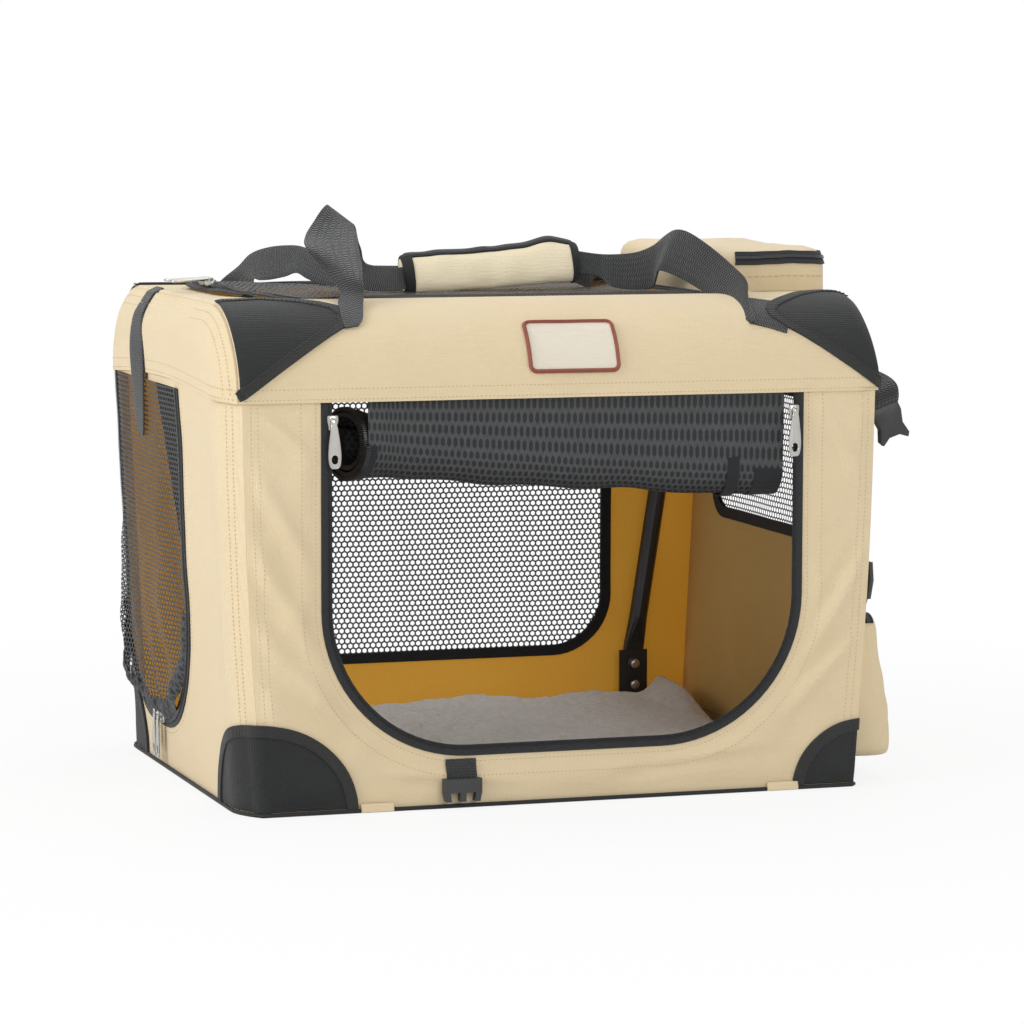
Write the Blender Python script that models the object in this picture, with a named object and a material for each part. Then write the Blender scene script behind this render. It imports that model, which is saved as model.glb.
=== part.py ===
"""Soft folding pet crate: a fabric box on two hinged steel hoops, with zipped mesh doors.

Metres, +Z up. The front is at -Y and the origin is the centre of the underside.
"""
from math import acos, atan2, cos, degrees, hypot, pi, radians, sin, sqrt

import bmesh
import bpy
from mathutils import Vector
from mathutils.geometry import tessellate_polygon

MM = 0.001

# The whole crate
BASE_LENGTH = 500 * MM
FLARE = 20 * MM
DEPTH = 400 * MM
HEIGHT = 400 * MM
TOP_RADIUS = 70 * MM
SKIRT_DROP = 76 * MM
FABRIC = 2 * MM
GAP = 0.3 * MM
LAP_GAP = 0.5 * MM
LAP_HEIGHT = 8 * MM
FLOOR_THICKNESS = 2.5 * MM
CUT_OVERRUN = 5 * MM

# Steel tubes
TUBE = 16 * MM
TUBE_SIDES = 14
FRAME_CORNER = 30 * MM
SUPPORT_LEAN = 52 * MM
WALL_CLEARANCE = 1.5 * MM
POST_FLAT = 6 * MM
POST_FLAT_WIDTH = 18 * MM
POST_TAPER = 24 * MM
FOLD_STEP = 19 * MM

# Hinge brackets
BRACKET_PLATE = 2.5 * MM
BRACKET_WIDTH = 26 * MM
BRACKET_TOP = 12 * MM
PIVOT_INSET = 56 * MM
PIVOT_HEIGHT = 34 * MM
PIN_DIAMETER = 6 * MM
PIN_PLAY = 0.4 * MM
RIVET_HEAD = 11 * MM
RIVET_HEIGHT = 1.8 * MM
RIVET_CROWN_SHARE = 0.6
RIVET_SIDES = 16
SADDLE_WRAP = 40
SADDLE_END = 140
SADDLE_SHELF = radians(18)
HOOP_CLEARANCE = 0.5 * MM

# Doors and windows
DOORWAY_LENGTH = 398 * MM
DOORWAY_SILL = 44 * MM
DOORWAY_CORNER = 118 * MM
DOORWAY_HEADER = 6 * MM
WINDOW_SILL = 36 * MM
WINDOW_CORNER = 55 * MM
WINDOW_FRONT_MARGIN = 141.5 * MM
WINDOW_BACK_MARGIN = 13.5 * MM
BACK_WINDOW_LENGTH = 356 * MM
BACK_WINDOW_SILL = 60 * MM
SIDE_WINDOW_HEIGHT = 128 * MM
SIDE_WINDOW_MARGIN = 50 * MM
MESH = 0.9 * MM
ZIP_WIDTH = 13 * MM
ZIP_THICKNESS = 2.4 * MM
TOP_DOOR_LEFT = 222 * MM
TOP_DOOR_RIGHT = 150 * MM
TOP_DOOR_DEPTH = 244 * MM
TOP_DOOR_CORNER = 70 * MM
TOP_DOOR_SQUARE_CORNER = 12 * MM

# Rolled front door
ROLL_LENGTH = 358 * MM
ROLL_CENTRE_X = 7 * MM
ROLL_RADIUS = 25 * MM
ROLL_CORE = 5 * MM
ROLL_TURNS = 3
ROLL_SHEET = 2.4 * MM
ROLL_SLOPE = 28 * MM
ROLL_DROP = 26 * MM

# Zip sliders
SLIDER_LENGTH = 12 * MM
SLIDER_WIDTH = 9 * MM
SLIDER_THICKNESS = 4.5 * MM
SLIDER_PAIR_GAP = 1.5 * MM
PULL_LENGTH = 36 * MM
PULL_WIDTH = 11 * MM
PULL_THICKNESS = 1.8 * MM
PULL_HOLE = 5 * MM
PULL_TUCK = 3 * MM
TOP_PULL_SHARE = 0.85
SLIDER_REST_DROP = 16 * MM

# Sewn-on pieces
PATCH = 1.2 * MM
TOP_PATCH_LENGTH = 96 * MM
TOP_PATCH_EDGE = 66 * MM
TOP_PATCH_TIP_DROP = 48 * MM
BOTTOM_PATCH_FRONT = 72 * MM
BOTTOM_PATCH_SIDE = 78 * MM
BOTTOM_PATCH_HEIGHT = 74 * MM
PIPING = 3.2 * MM
LABEL_LENGTH = 76 * MM
LABEL_WIDTH = 46 * MM
LABEL_LEFT = -31 * MM
LABEL_LOW = 19.5 * MM
RIBBON_WIDTH = 25 * MM
RIBBON_LENGTH = 104 * MM
RIBBON_Y = 66 * MM
RIBBON_THICKNESS = 1.6 * MM
RIBBON_TOP_DROP = 12 * MM

# Carry handle
WEBBING = 38 * MM
WEBBING_THICKNESS = 2 * MM
WRAP_LENGTH = 146 * MM
WRAP_HEIGHT = 34 * MM
WRAP_DEPTH = 30 * MM
WRAP_CLEARANCE = 1.5 * MM
STRAP_PEAK_HEIGHT = 54 * MM
STRAP_PEAK_X = 134 * MM
STRAP_PEAK_Y = 92 * MM
STRAP_CREST_X = 112 * MM
STRAP_CREST_Y = 40 * MM
STRAP_FOOT_X = 174 * MM
STRAP_RISE_X = 152 * MM
STRAP_RISE = 30 * MM
STRAP_SPREAD = 9 * MM
STRAP_STEPS = 18

# Pouches
TOP_POUCH_LENGTH = 104 * MM
TOP_POUCH_RIGHT = 262 * MM
TOP_POUCH_DEPTH = 218 * MM
TOP_POUCH_BACK = 114 * MM
TOP_POUCH_HEIGHT = 42 * MM
SIDE_POUCH_LENGTH = 300 * MM
SIDE_POUCH_SILL = 30 * MM
SIDE_POUCH_HEIGHT = 108 * MM
SIDE_POUCH_DEPTH = 34 * MM
POUCH_ROUND = 14 * MM

# Closing straps and buckles
STRAP_WIDTH = 25 * MM
CLOSING_STRAP_DROP = 28 * MM
CLOSING_STRAP_TOP = 38 * MM
CLOSING_STRAP_X = -88 * MM
BUCKLE_LENGTH = 36 * MM
BUCKLE_WIDTH = 31 * MM
BUCKLE_THICKNESS = 7 * MM
BUCKLE_TAB = 22 * MM
PRONG_LENGTH = 16 * MM
PRONG_WIDTH = 5 * MM
BUCKLE_SLOT = 4.5 * MM
TAB_INSET = 45 * MM
ADJUSTER_LENGTH = 28 * MM
ADJUSTER_TOP = 186 * MM
ADJUSTER_STRAP = 34 * MM

# Fleece mat
MAT_MARGIN = 3 * MM
MAT_EDGE = 12 * MM
MAT_CROWN = 4 * MM
MAT_DRAWN_IN = 5 * MM
MAT_SHOULDER_SHARE = 0.45

ARC_STEPS = 8
LEFT, RIGHT = -1, 1
FRONT, BACK = -1, 1

FABRIC_COLOUR = (0.72, 0.60, 0.42)
BLACK = (0.03, 0.03, 0.032)
STEEL = (0.55, 0.55, 0.56)
FLEECE = (0.75, 0.73, 0.70)
LABEL_COLOUR = (0.80, 0.76, 0.68)


# Derived places
def half_length(z):
    """Half the crate's length at height z, which grows towards the top."""
    return BASE_LENGTH / 2 + FLARE * z / HEIGHT


def wall_half_length(z):
    """Half length at the outer face of the end walls, under the end bands."""
    return half_length(z) - FABRIC - LAP_GAP


LAP = FABRIC + LAP_GAP
WALL_Y = DEPTH / 2 - LAP
WALL_INNER_Y = WALL_Y - FABRIC
SKIRT_Z = HEIGHT - SKIRT_DROP
WALL_TOP = SKIRT_Z + LAP_HEIGHT
WALL_BOTTOM = FLOOR_THICKNESS + GAP
ARC_CENTRE_Y = DEPTH / 2 - TOP_RADIUS
ARC_CENTRE_Z = HEIGHT - TOP_RADIUS
FRAME_Z = FLOOR_THICKNESS + GAP + TUBE / 2
POST_Y = WALL_INNER_Y - WALL_CLEARANCE - TUBE / 2
PIVOT_X = BASE_LENGTH / 2 - PIVOT_INSET
CROSSBAR_Z = HEIGHT - LAP - TUBE / 2
CROSSBAR_X = PIVOT_X + SUPPORT_LEAN
SUPPORT_BEND = TOP_RADIUS - LAP - TUBE / 2
HOOP_STEP = TUBE + HOOP_CLEARANCE
TAB_Y = TAB_INSET - WALL_INNER_Y
DOORWAY_TOP = WALL_TOP - DOORWAY_HEADER
STRAIGHT_SKIRT = ARC_CENTRE_Z - SKIRT_Z
CORNER_ARC = TOP_RADIUS * pi / 2


# Scene and materials
def clear_scene():
    for item in list(bpy.data.objects):
        bpy.data.objects.remove(item, do_unlink=True)


def make_collection(name):
    collection = bpy.data.collections.new(name)
    bpy.context.scene.collection.children.link(collection)
    return collection


def make_material(name, colour, roughness, metallic=0.0):
    material = bpy.data.materials.new(name)
    material.use_nodes = True
    shader = material.node_tree.nodes["Principled BSDF"]
    shader.inputs["Base Color"].default_value = (*colour, 1.0)
    shader.inputs["Roughness"].default_value = roughness
    shader.inputs["Metallic"].default_value = metallic
    material.diffuse_color = (*colour, 1.0)
    return material


def add_piece(name, bm, material, origin=(0, 0, 0), collection=None):
    """Turn a bmesh in crate coordinates into an object whose origin lies at the given point."""
    bmesh.ops.recalc_face_normals(bm, faces=bm.faces)
    if bm.calc_volume(signed=True) < 0:
        bmesh.ops.reverse_faces(bm, faces=bm.faces)
    bmesh.ops.translate(bm, verts=bm.verts, vec=-Vector(origin))
    mesh = bpy.data.meshes.new(name)
    bm.to_mesh(mesh)
    bm.free()
    piece = bpy.data.objects.new(name, mesh)
    piece.location = origin
    mesh.materials.append(material)
    (collection or crate).objects.link(piece)
    return piece


def combine(piece, other_bm, operation):
    """Cut another solid out of a piece, or join it on, with a Boolean modifier."""
    other = add_piece(piece.name + "_" + operation.lower(), other_bm, piece.data.materials[0], collection=cutters)
    other.hide_render = True
    other.display_type = "WIRE"
    modifier = piece.modifiers.new(operation.lower(), "BOOLEAN")
    modifier.operation = operation
    modifier.solver = "EXACT"
    modifier.object = other
    return piece


# Solids
def loft(rings, closed=False):
    """A solid through rings of equal counts, capped at both ends or closed on itself."""
    bm = bmesh.new()
    rows = [[bm.verts.new(point) for point in ring] for ring in rings]
    count = len(rows[0])
    spans = len(rows) if closed else len(rows) - 1
    for row in range(spans):
        here = rows[row]
        after = rows[(row + 1) % len(rows)]
        for step in range(count):
            bm.faces.new((here[step], here[(step + 1) % count], after[(step + 1) % count], after[step]))
    if not closed:
        bm.faces.new(rows[0])
        bm.faces.new(rows[-1])
    return bm


def prism(outlines, place, low, high):
    """A plate with holes: the first outline is its edge, the others are holes."""
    bm = bmesh.new()
    flat = [[Vector((u, v, 0)) for u, v in outline] for outline in outlines]
    levels = []
    for level in (low, high):
        levels.append([[bm.verts.new(place(p.x, p.y, level)) for p in outline] for outline in flat])
    triangles = tessellate_polygon(flat)
    for loops in levels:
        verts = [vert for loop in loops for vert in loop]
        for triangle in triangles:
            bm.faces.new([verts[index] for index in triangle])
    for lower, upper in zip(*levels):
        for step in range(len(lower)):
            after = (step + 1) % len(lower)
            bm.faces.new((lower[step], lower[after], upper[after], upper[step]))
    return bm


def box(low, high):
    outline = [(low[0], low[1]), (high[0], low[1]), (high[0], high[1]), (low[0], high[1])]
    return prism([outline], lambda u, v, w: Vector((u, v, w)), low[2], high[2])


def arc(centre_u, centre_v, radius, start, end, steps=ARC_STEPS):
    """Points on an arc, with angles in degrees and both ends included."""
    angles = [radians(start + (end - start) * step / steps) for step in range(steps + 1)]
    return [(centre_u + radius * cos(angle), centre_v + radius * sin(angle)) for angle in angles]


def rounded(u0, u1, v0, v1, corners, steps=ARC_STEPS):
    """A rectangle with four corner radii: low-low, high-low, high-high and low-high."""
    centres = [(u0, v0, 180), (u1, v0, 270), (u1, v1, 0), (u0, v1, 90)]
    points = []
    for (u, v, start), radius in zip(centres, corners):
        if radius:
            centre_u = u + radius * (1 if u == u0 else -1)
            centre_v = v + radius * (1 if v == v0 else -1)
            points += arc(centre_u, centre_v, radius, start, start + 90, steps)
        else:
            points.append((u, v))
    return points


def tube(path, normal, radii, closed=False, sides=TUBE_SIDES):
    """A tube along points in one plane; radii gives (in plane, across plane, squareness) at each point."""
    rings = []
    count = len(path)
    for index, point in enumerate(path):
        before = path[index - 1] if index or closed else point
        after = path[(index + 1) % count] if index < count - 1 or closed else point
        along = (after - before).normalized()
        side = along.cross(normal).normalized()
        in_plane, across, squareness = radii(index)
        ring = []
        for step in range(sides):
            angle = 2 * pi * (step + 0.5) / sides
            c, s = cos(angle), sin(angle)
            c = abs(c) ** squareness * (1 if c > 0 else -1)
            s = abs(s) ** squareness * (1 if s > 0 else -1)
            ring.append(point + side * in_plane * c + normal * across * s)
        rings.append(ring)
    return loft(rings, closed)


def ribbon(path, across, width, thickness):
    """A flat strap along points, with its width direction given at each point."""
    rings = []
    for index, point in enumerate(path):
        before = path[max(index - 1, 0)]
        after = path[min(index + 1, len(path) - 1)]
        along = (after - before).normalized()
        wide = across[index]
        wide = (wide - along * wide.dot(along)).normalized()
        thick = along.cross(wide)
        half_width = wide * width / 2
        half_thick = thick * thickness / 2
        rings.append([point + half_width + half_thick, point - half_width + half_thick,
                      point - half_width - half_thick, point + half_width - half_thick])
    bm = loft(rings)
    bmesh.ops.triangulate(bm, faces=bm.faces)
    return bm


def cylinder(centre_x, centre_z, radius, y0, y1, sides=20):
    outline = arc(centre_x, centre_z, radius, 0, 360 - 360 / sides, sides - 1)
    return prism([outline], lambda u, v, w: Vector((u, w, v)), y0, y1)


# Places on the sewn cover
def front_place(side):
    """Crate coordinates from (x, z, distance out of the front or back wall's outer face)."""
    return lambda u, v, w: Vector((u, side * (WALL_Y + w), v))


def end_place(side):
    """Crate coordinates from (y, z, distance out of an end wall's outer face)."""
    return lambda u, v, w: Vector((side * (wall_half_length(v) + w), u, v))


def cover_point(side, x, s, out):
    """A point on the cover's band, s metres up its outer face from the skirt's lower edge."""
    if s <= STRAIGHT_SKIRT:
        return Vector((x, side * (DEPTH / 2 + out), SKIRT_Z + s))
    turn = (s - STRAIGHT_SKIRT) / TOP_RADIUS
    if turn <= pi / 2:
        reach = TOP_RADIUS + out
        return Vector((x, side * (ARC_CENTRE_Y + reach * cos(turn)), ARC_CENTRE_Z + reach * sin(turn)))
    rest = s - STRAIGHT_SKIRT - CORNER_ARC
    return Vector((x, side * (ARC_CENTRE_Y - rest), HEIGHT + out))


def cover_profile(inset, z_low):
    """The (y, z) outline of the cover's arch, inset from its outer face, from front to back."""
    radius = TOP_RADIUS - inset
    right = [(DEPTH / 2 - inset, z_low)] + arc(ARC_CENTRE_Y, ARC_CENTRE_Z, radius, 0, 90)
    return [(-y, z) for y, z in right] + right[::-1]


# Steel frame
def bottom_frame():
    half_x = wall_half_length(FRAME_Z) - FABRIC - WALL_CLEARANCE - TUBE / 2
    outline = rounded(-half_x, half_x, -POST_Y, POST_Y, [FRAME_CORNER] * 4)
    path = [Vector((x, y, FRAME_Z)) for x, y in outline]
    bm = tube(path, Vector((0, 0, 1)), lambda index: (TUBE / 2, TUBE / 2, 1), closed=True)
    add_piece("bottom_frame", bm, steel_black)
    return half_x


def pivot_height(side):
    return PIVOT_HEIGHT + (FOLD_STEP if side == RIGHT else 0)


def hoop_step(side):
    """The left hoop is narrower and lower by one tube, so that it folds inside the right one."""
    return HOOP_STEP if side == LEFT else 0


def post_y(side):
    return POST_Y - hoop_step(side)


def support(side):
    """An inverted U of tube whose two flattened ends turn on the bracket pins."""
    pivot_z = pivot_height(side)
    lean = Vector((side * (CROSSBAR_X - PIVOT_X), 0, CROSSBAR_Z - hoop_step(side) - pivot_z))
    up = lean.normalized()
    rise = lean.length
    pivot = Vector((side * PIVOT_X, 0, pivot_z))
    foot = -POST_FLAT_WIDTH / 2
    flat = hypot(BRACKET_TOP, BRACKET_WIDTH / 2)
    levels = [foot, foot * 0.72, 0, flat, flat + POST_TAPER]
    widths = [POST_FLAT_WIDTH * 0.22, POST_FLAT_WIDTH * 0.40, POST_FLAT_WIDTH / 2, POST_FLAT_WIDTH / 2, TUBE / 2]
    depths = [POST_FLAT / 2, POST_FLAT / 2, POST_FLAT / 2, POST_FLAT / 2, TUBE / 2]
    squareness = [0.3, 0.3, 0.3, 0.3, 1]
    foot_y = post_y(side)
    bend = arc(foot_y - SUPPORT_BEND, rise - SUPPORT_BEND, SUPPORT_BEND, 0, 90)
    half = [(foot_y, level) for level in levels] + bend
    shape = list(zip(widths, depths, squareness)) + [(TUBE / 2, TUBE / 2, 1)] * len(bend)
    outline = half + [(-y, level) for y, level in reversed(half)]
    shape = shape + shape[::-1]
    path = [pivot + Vector((0, y, 0)) + up * level for y, level in outline]
    across = up.cross(Vector((0, 1, 0)))
    bm = support_tube(path, across, shape)
    name = "support_right" if side == RIGHT else "support_left"
    piece = add_piece(name, bm, steel_black, origin=pivot)
    for end in (FRONT, BACK):
        y0, y1 = sorted((end * (foot_y - TUBE), end * (foot_y + TUBE)))
        combine(piece, cylinder(pivot.x, pivot.z, PIN_DIAMETER / 2 + PIN_PLAY, y0, y1), "DIFFERENCE")
    return piece


def support_tube(path, across, shape):
    """The hoop's tube, whose flattened ends are thin along Y and wide along the fold direction."""
    return tube(path, across, lambda index: (shape[index][1], shape[index][0], shape[index][2]))


def hinge_bracket(side, end):
    """A saddle over the bottom tube with an upright plate and a riveted pin."""
    pivot_z = pivot_height(side)
    inner = TUBE / 2 + GAP
    outer = inner + BRACKET_PLATE
    plate_near = POST_FLAT / 2 + PIN_PLAY
    plate_far = plate_near + BRACKET_PLATE
    top = pivot_z - FRAME_Z + BRACKET_TOP
    if side == RIGHT:
        plate_in, plate_out, shelf = plate_far, plate_near, acos(plate_far / outer)
    else:
        plate_in, plate_out, shelf = HOOP_STEP - plate_near, HOOP_STEP - plate_far, -SADDLE_SHELF
    outline = arc(0, 0, outer, -SADDLE_WRAP, degrees(shelf))
    outline += [(plate_in, outer * sin(shelf)), (plate_in, top), (plate_out, top)]
    outline += arc(0, 0, outer, degrees(acos(min(plate_out / outer, 1))), SADDLE_END)
    outline += arc(0, 0, inner, SADDLE_END, -SADDLE_WRAP, 2 * ARC_STEPS)
    half_width = BRACKET_WIDTH / 2
    centre_x = side * PIVOT_X

    def place(q, v, w):
        return Vector((centre_x + w, end * (POST_Y - q), FRAME_Z + v))

    bm = prism([outline], place, -half_width, half_width)
    name = "hinge_bracket_" + ("left" if side == LEFT else "right") + ("_front" if end == FRONT else "_back")
    pivot = Vector((centre_x, end * post_y(side), pivot_z))
    piece = add_piece(name, bm, steel_black, origin=pivot)
    inward = -end * side
    combine(piece, pivot_pin(pivot, inward, plate_near, plate_far), "UNION")
    return piece


def pivot_pin(pivot, inward, plate_near, plate_far):
    """A rivet through the plate, with a shank for the hoop's eye and a head on each side."""
    shank = PIN_DIAMETER / 2
    head = RIVET_HEAD / 2
    inside = plate_far + RIVET_HEIGHT
    outside = -(POST_FLAT / 2 + PIN_PLAY)
    profile = [(inside, head * RIVET_CROWN_SHARE), (inside - RIVET_HEIGHT / 2, head), (plate_far - GAP, head),
               (plate_far - GAP, shank), (outside, shank), (outside, head),
               (outside - RIVET_HEIGHT / 2, head), (outside - RIVET_HEIGHT, head * RIVET_CROWN_SHARE)]
    rings = []
    for q, radius in profile:
        ring = []
        for step in range(RIVET_SIDES):
            angle = 2 * pi * step / RIVET_SIDES
            ring.append(pivot + Vector((radius * cos(angle), inward * q, radius * sin(angle))))
        rings.append(ring)
    return loft(rings)


# Floor and walls
def floor_panel():
    half_x = wall_half_length(0)
    outline = rounded(-half_x, half_x, -WALL_Y, WALL_Y, [0] * 4)
    add_piece("floor_panel", prism([outline], lambda u, v, w: Vector((u, v, w)), 0, FLOOR_THICKNESS), fabric)


def bottom_piping():
    """A corded edge round the foot of the walls."""
    radius = PIPING / 2
    half_x = wall_half_length(radius) + GAP + radius
    half_y = WALL_Y + GAP + radius
    outline = rounded(-half_x, half_x, -half_y, half_y, [GAP + radius] * 4, 3)
    path = [Vector((x, y, GAP + radius)) for x, y in outline]
    bm = tube(path, Vector((0, 0, 1)), lambda index: (radius, radius, 1), closed=True, sides=8)
    add_piece("bottom_piping", bm, black_fabric)


def doorway_outline(inset):
    half = DOORWAY_LENGTH / 2 - inset
    corner = DOORWAY_CORNER - inset
    return rounded(-half, half, DOORWAY_SILL + inset, DOORWAY_TOP - inset, [corner, corner, 0, 0], 2 * ARC_STEPS)


def long_wall_outline():
    low = wall_half_length(WALL_BOTTOM)
    high = wall_half_length(WALL_TOP)
    return [(-low, WALL_BOTTOM), (low, WALL_BOTTOM), (high, WALL_TOP), (-high, WALL_TOP)]


def front_wall():
    bm = prism([long_wall_outline(), doorway_outline(0)], front_place(FRONT), -FABRIC, 0)
    add_piece("front_wall", bm, fabric)
    ring = prism([doorway_outline(GAP), doorway_outline(ZIP_WIDTH)], front_place(FRONT), -ZIP_THICKNESS, 0)
    add_piece("front_zip", ring, black_fabric)


def back_window_outline(inset):
    half = BACK_WINDOW_LENGTH / 2 - inset
    corner = WINDOW_CORNER - inset
    top = SKIRT_Z - LAP_HEIGHT - inset
    return rounded(-half, half, BACK_WINDOW_SILL + inset, top, [corner] * 4)


def back_wall():
    bm = prism([long_wall_outline(), back_window_outline(0)], front_place(BACK), -FABRIC, 0)
    add_piece("back_wall", bm, fabric)
    mesh = prism([back_window_outline(GAP)], front_place(BACK), -FABRIC + GAP, -FABRIC + GAP + MESH)
    add_piece("back_mesh", mesh, mesh_black)


def end_wall_outline():
    half = WALL_INNER_Y - GAP
    return [(-half, WALL_BOTTOM), (half, WALL_BOTTOM), (half, WALL_TOP), (-half, WALL_TOP)]


def left_window_outline(inset):
    front = -WALL_INNER_Y + WINDOW_FRONT_MARGIN + inset
    back = WALL_INNER_Y - WINDOW_BACK_MARGIN - inset
    corner = WINDOW_CORNER - inset
    return rounded(front, back, WINDOW_SILL + inset, DOORWAY_TOP - inset, [corner, corner, 0, 0])


def left_wall():
    place = end_place(LEFT)
    bm = prism([end_wall_outline(), left_window_outline(0)], place, -FABRIC, 0)
    add_piece("left_wall", bm, fabric)
    ring = prism([left_window_outline(GAP), left_window_outline(ZIP_WIDTH)], place, -ZIP_THICKNESS, 0)
    add_piece("left_zip", ring, black_fabric)
    mesh = prism([left_window_outline(ZIP_WIDTH + GAP)], place, -ZIP_THICKNESS, -ZIP_THICKNESS + MESH)
    add_piece("left_mesh", mesh, mesh_black)


def right_window_outline(inset):
    half = WALL_INNER_Y - SIDE_WINDOW_MARGIN - inset
    corner = WINDOW_CORNER / 2 - inset
    top = SKIRT_Z - LAP_HEIGHT
    return rounded(-half, half, top - SIDE_WINDOW_HEIGHT + inset, top - inset, [corner] * 4)


def right_wall():
    place = end_place(RIGHT)
    bm = prism([end_wall_outline(), right_window_outline(0)], place, -FABRIC, 0)
    add_piece("right_wall", bm, fabric)
    mesh = prism([right_window_outline(GAP)], place, -FABRIC + GAP, -FABRIC + GAP + MESH)
    add_piece("right_mesh", mesh, mesh_black)


def corner_patch(side, end):
    """A round-topped reinforcement that wraps a bottom corner."""
    low = PIPING + GAP * 2
    near = GAP
    far = GAP + PATCH
    rings = []
    front_steps = 7
    spans = [(share / front_steps, FRONT) for share in range(front_steps, 0, -1)]
    spans += [(0, BACK)] + [(share / front_steps, BACK) for share in range(1, front_steps + 1)]
    for share, face in spans:
        share = min(share, 0.97)
        height = low + (BOTTOM_PATCH_HEIGHT - low) * sqrt(1 - share * share)
        ring = []
        for z, out in ((low, near), (low, far), (height, far), (height, near)):
            x = wall_half_length(z) + out
            y = WALL_Y + out
            if face == FRONT:
                x = wall_half_length(z) + out - share * (BOTTOM_PATCH_FRONT + out)
            else:
                y = WALL_Y + out - share * (BOTTOM_PATCH_SIDE + out)
            ring.append(Vector((side * x, end * y, z)))
        rings.append(ring)
    name = "bottom_patch_" + ("left" if side == LEFT else "right") + ("_front" if end == FRONT else "_back")
    add_piece(name, loft(rings), black_fabric)


# Fleece mat
def fleece_mat(frame_half_x):
    """A cushion with a low crown, drawn-in sides and rounded corners."""
    half_x = frame_half_x - TUBE / 2 - MAT_MARGIN
    half_y = POST_Y - HOOP_STEP + POST_FLAT / 2 + PIN_PLAY - MAT_MARGIN
    corner_radius = FRAME_CORNER - TUBE / 2 - MAT_MARGIN
    levels = [(MAT_DRAWN_IN, 0), (0, MAT_EDGE * MAT_SHOULDER_SHARE), (MAT_DRAWN_IN / 2, MAT_EDGE),
              (corner_radius, MAT_EDGE + MAT_CROWN / 2), (half_y * MAT_SHOULDER_SHARE, MAT_EDGE + MAT_CROWN)]
    rings = []
    for inset, height in levels:
        corner = max(corner_radius - inset, MAT_DRAWN_IN)
        outline = rounded(-half_x + inset, half_x - inset, -half_y + inset, half_y - inset, [corner] * 4)
        rings.append([Vector((x, y, FLOOR_THICKNESS + GAP + height)) for x, y in outline])
    add_piece("fleece_mat", loft(rings), fleece)


# Top cover
def cover_shell():
    """The top and its two skirts as one bent panel, which ends flush with the leaning ends."""
    outer = cover_profile(0, SKIRT_Z)
    inner = cover_profile(FABRIC, SKIRT_Z)
    outline = outer + inner[::-1]
    rings = [[Vector((side * half_length(z), y, z)) for y, z in outline] for side in (LEFT, RIGHT)]
    bm = bmesh.new()
    rows = [[bm.verts.new(point) for point in ring] for ring in rings]
    count = len(outline)
    half = len(outer)
    for step in range(count):
        after = (step + 1) % count
        bm.faces.new((rows[0][step], rows[0][after], rows[1][after], rows[1][step]))
    for row in rows:
        for step in range(half - 1):
            bm.faces.new((row[step], row[step + 1], row[count - 2 - step], row[count - 1 - step]))
    piece = add_piece("top_cover", bm, fabric)
    low = HEIGHT - FABRIC - CUT_OVERRUN
    cutter = prism([top_door_outline(0)], lambda u, v, w: Vector((u, v, w)), low, HEIGHT + CUT_OVERRUN)
    combine(piece, cutter, "DIFFERENCE")


def top_door_outline(inset):
    round_corner = TOP_DOOR_CORNER - inset
    square_corner = max(TOP_DOOR_SQUARE_CORNER - inset, 0)
    half = TOP_DOOR_DEPTH / 2 - inset
    corners = [round_corner, square_corner, square_corner, round_corner]
    return rounded(-TOP_DOOR_LEFT + inset, TOP_DOOR_RIGHT - inset, -half, half, corners)


def top_door():
    def place(u, v, w):
        return Vector((u, v, HEIGHT + w))

    ring = prism([top_door_outline(GAP), top_door_outline(ZIP_WIDTH)], place, -ZIP_THICKNESS, 0)
    add_piece("top_zip", ring, black_fabric)
    mesh = prism([top_door_outline(ZIP_WIDTH + GAP)], place, -ZIP_THICKNESS, -ZIP_THICKNESS + MESH)
    add_piece("top_mesh", mesh, mesh_black)


def end_band(side):
    """The band that closes the cover's arch at one end and laps over the end wall."""
    outline = cover_profile(FABRIC + GAP, SKIRT_Z)

    def place(u, v, w):
        return Vector((side * (half_length(v) - w), u, v))

    add_piece("end_band_" + ("left" if side == LEFT else "right"), prism([outline], place, 0, FABRIC), fabric)


def top_patch(side, end):
    """A black reinforcement on the cover's corner, drawn out to the foot of a handle strap."""
    top_s = STRAIGHT_SKIRT + CORNER_ARC
    tip_s = top_s - TOP_PATCH_TIP_DROP
    edge = FABRIC
    low_z = cover_point(end, 0, edge, 0).z
    tip_z = cover_point(end, 0, tip_s, 0).z
    levels = 12
    rings = []
    for step in range(levels + 1):
        s = edge + (top_s - edge) * step / levels
        if s <= tip_s:
            climb = (cover_point(end, 0, s, 0).z - low_z) / (tip_z - low_z)
            reach = 2 * edge + (TOP_PATCH_LENGTH - 2 * edge) * climb
        else:
            reach = TOP_PATCH_LENGTH + (TOP_PATCH_EDGE - TOP_PATCH_LENGTH) * (s - tip_s) / (top_s - tip_s)
        ring = []
        for length, out in ((edge, GAP), (reach, GAP), (reach, GAP + PATCH), (edge, GAP + PATCH)):
            z = cover_point(end, 0, s, out).z
            ring.append(cover_point(end, side * (half_length(z) - length), s, out))
        rings.append(ring)
    name = "top_patch_" + ("left" if side == LEFT else "right") + ("_front" if end == FRONT else "_back")
    add_piece(name, loft(rings), black_fabric)


def label_patch():
    """A bare sewn label on the front of the cover."""
    steps = 6
    rings = []
    for step in range(steps + 1):
        s = LABEL_LOW + LABEL_WIDTH * step / steps
        low, high = GAP, GAP + PATCH
        right = LABEL_LEFT + LABEL_LENGTH
        rings.append([cover_point(FRONT, LABEL_LEFT, s, low), cover_point(FRONT, right, s, low),
                      cover_point(FRONT, right, s, high), cover_point(FRONT, LABEL_LEFT, s, high)])
    add_piece("label_patch", loft(rings), label_cloth)


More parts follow.
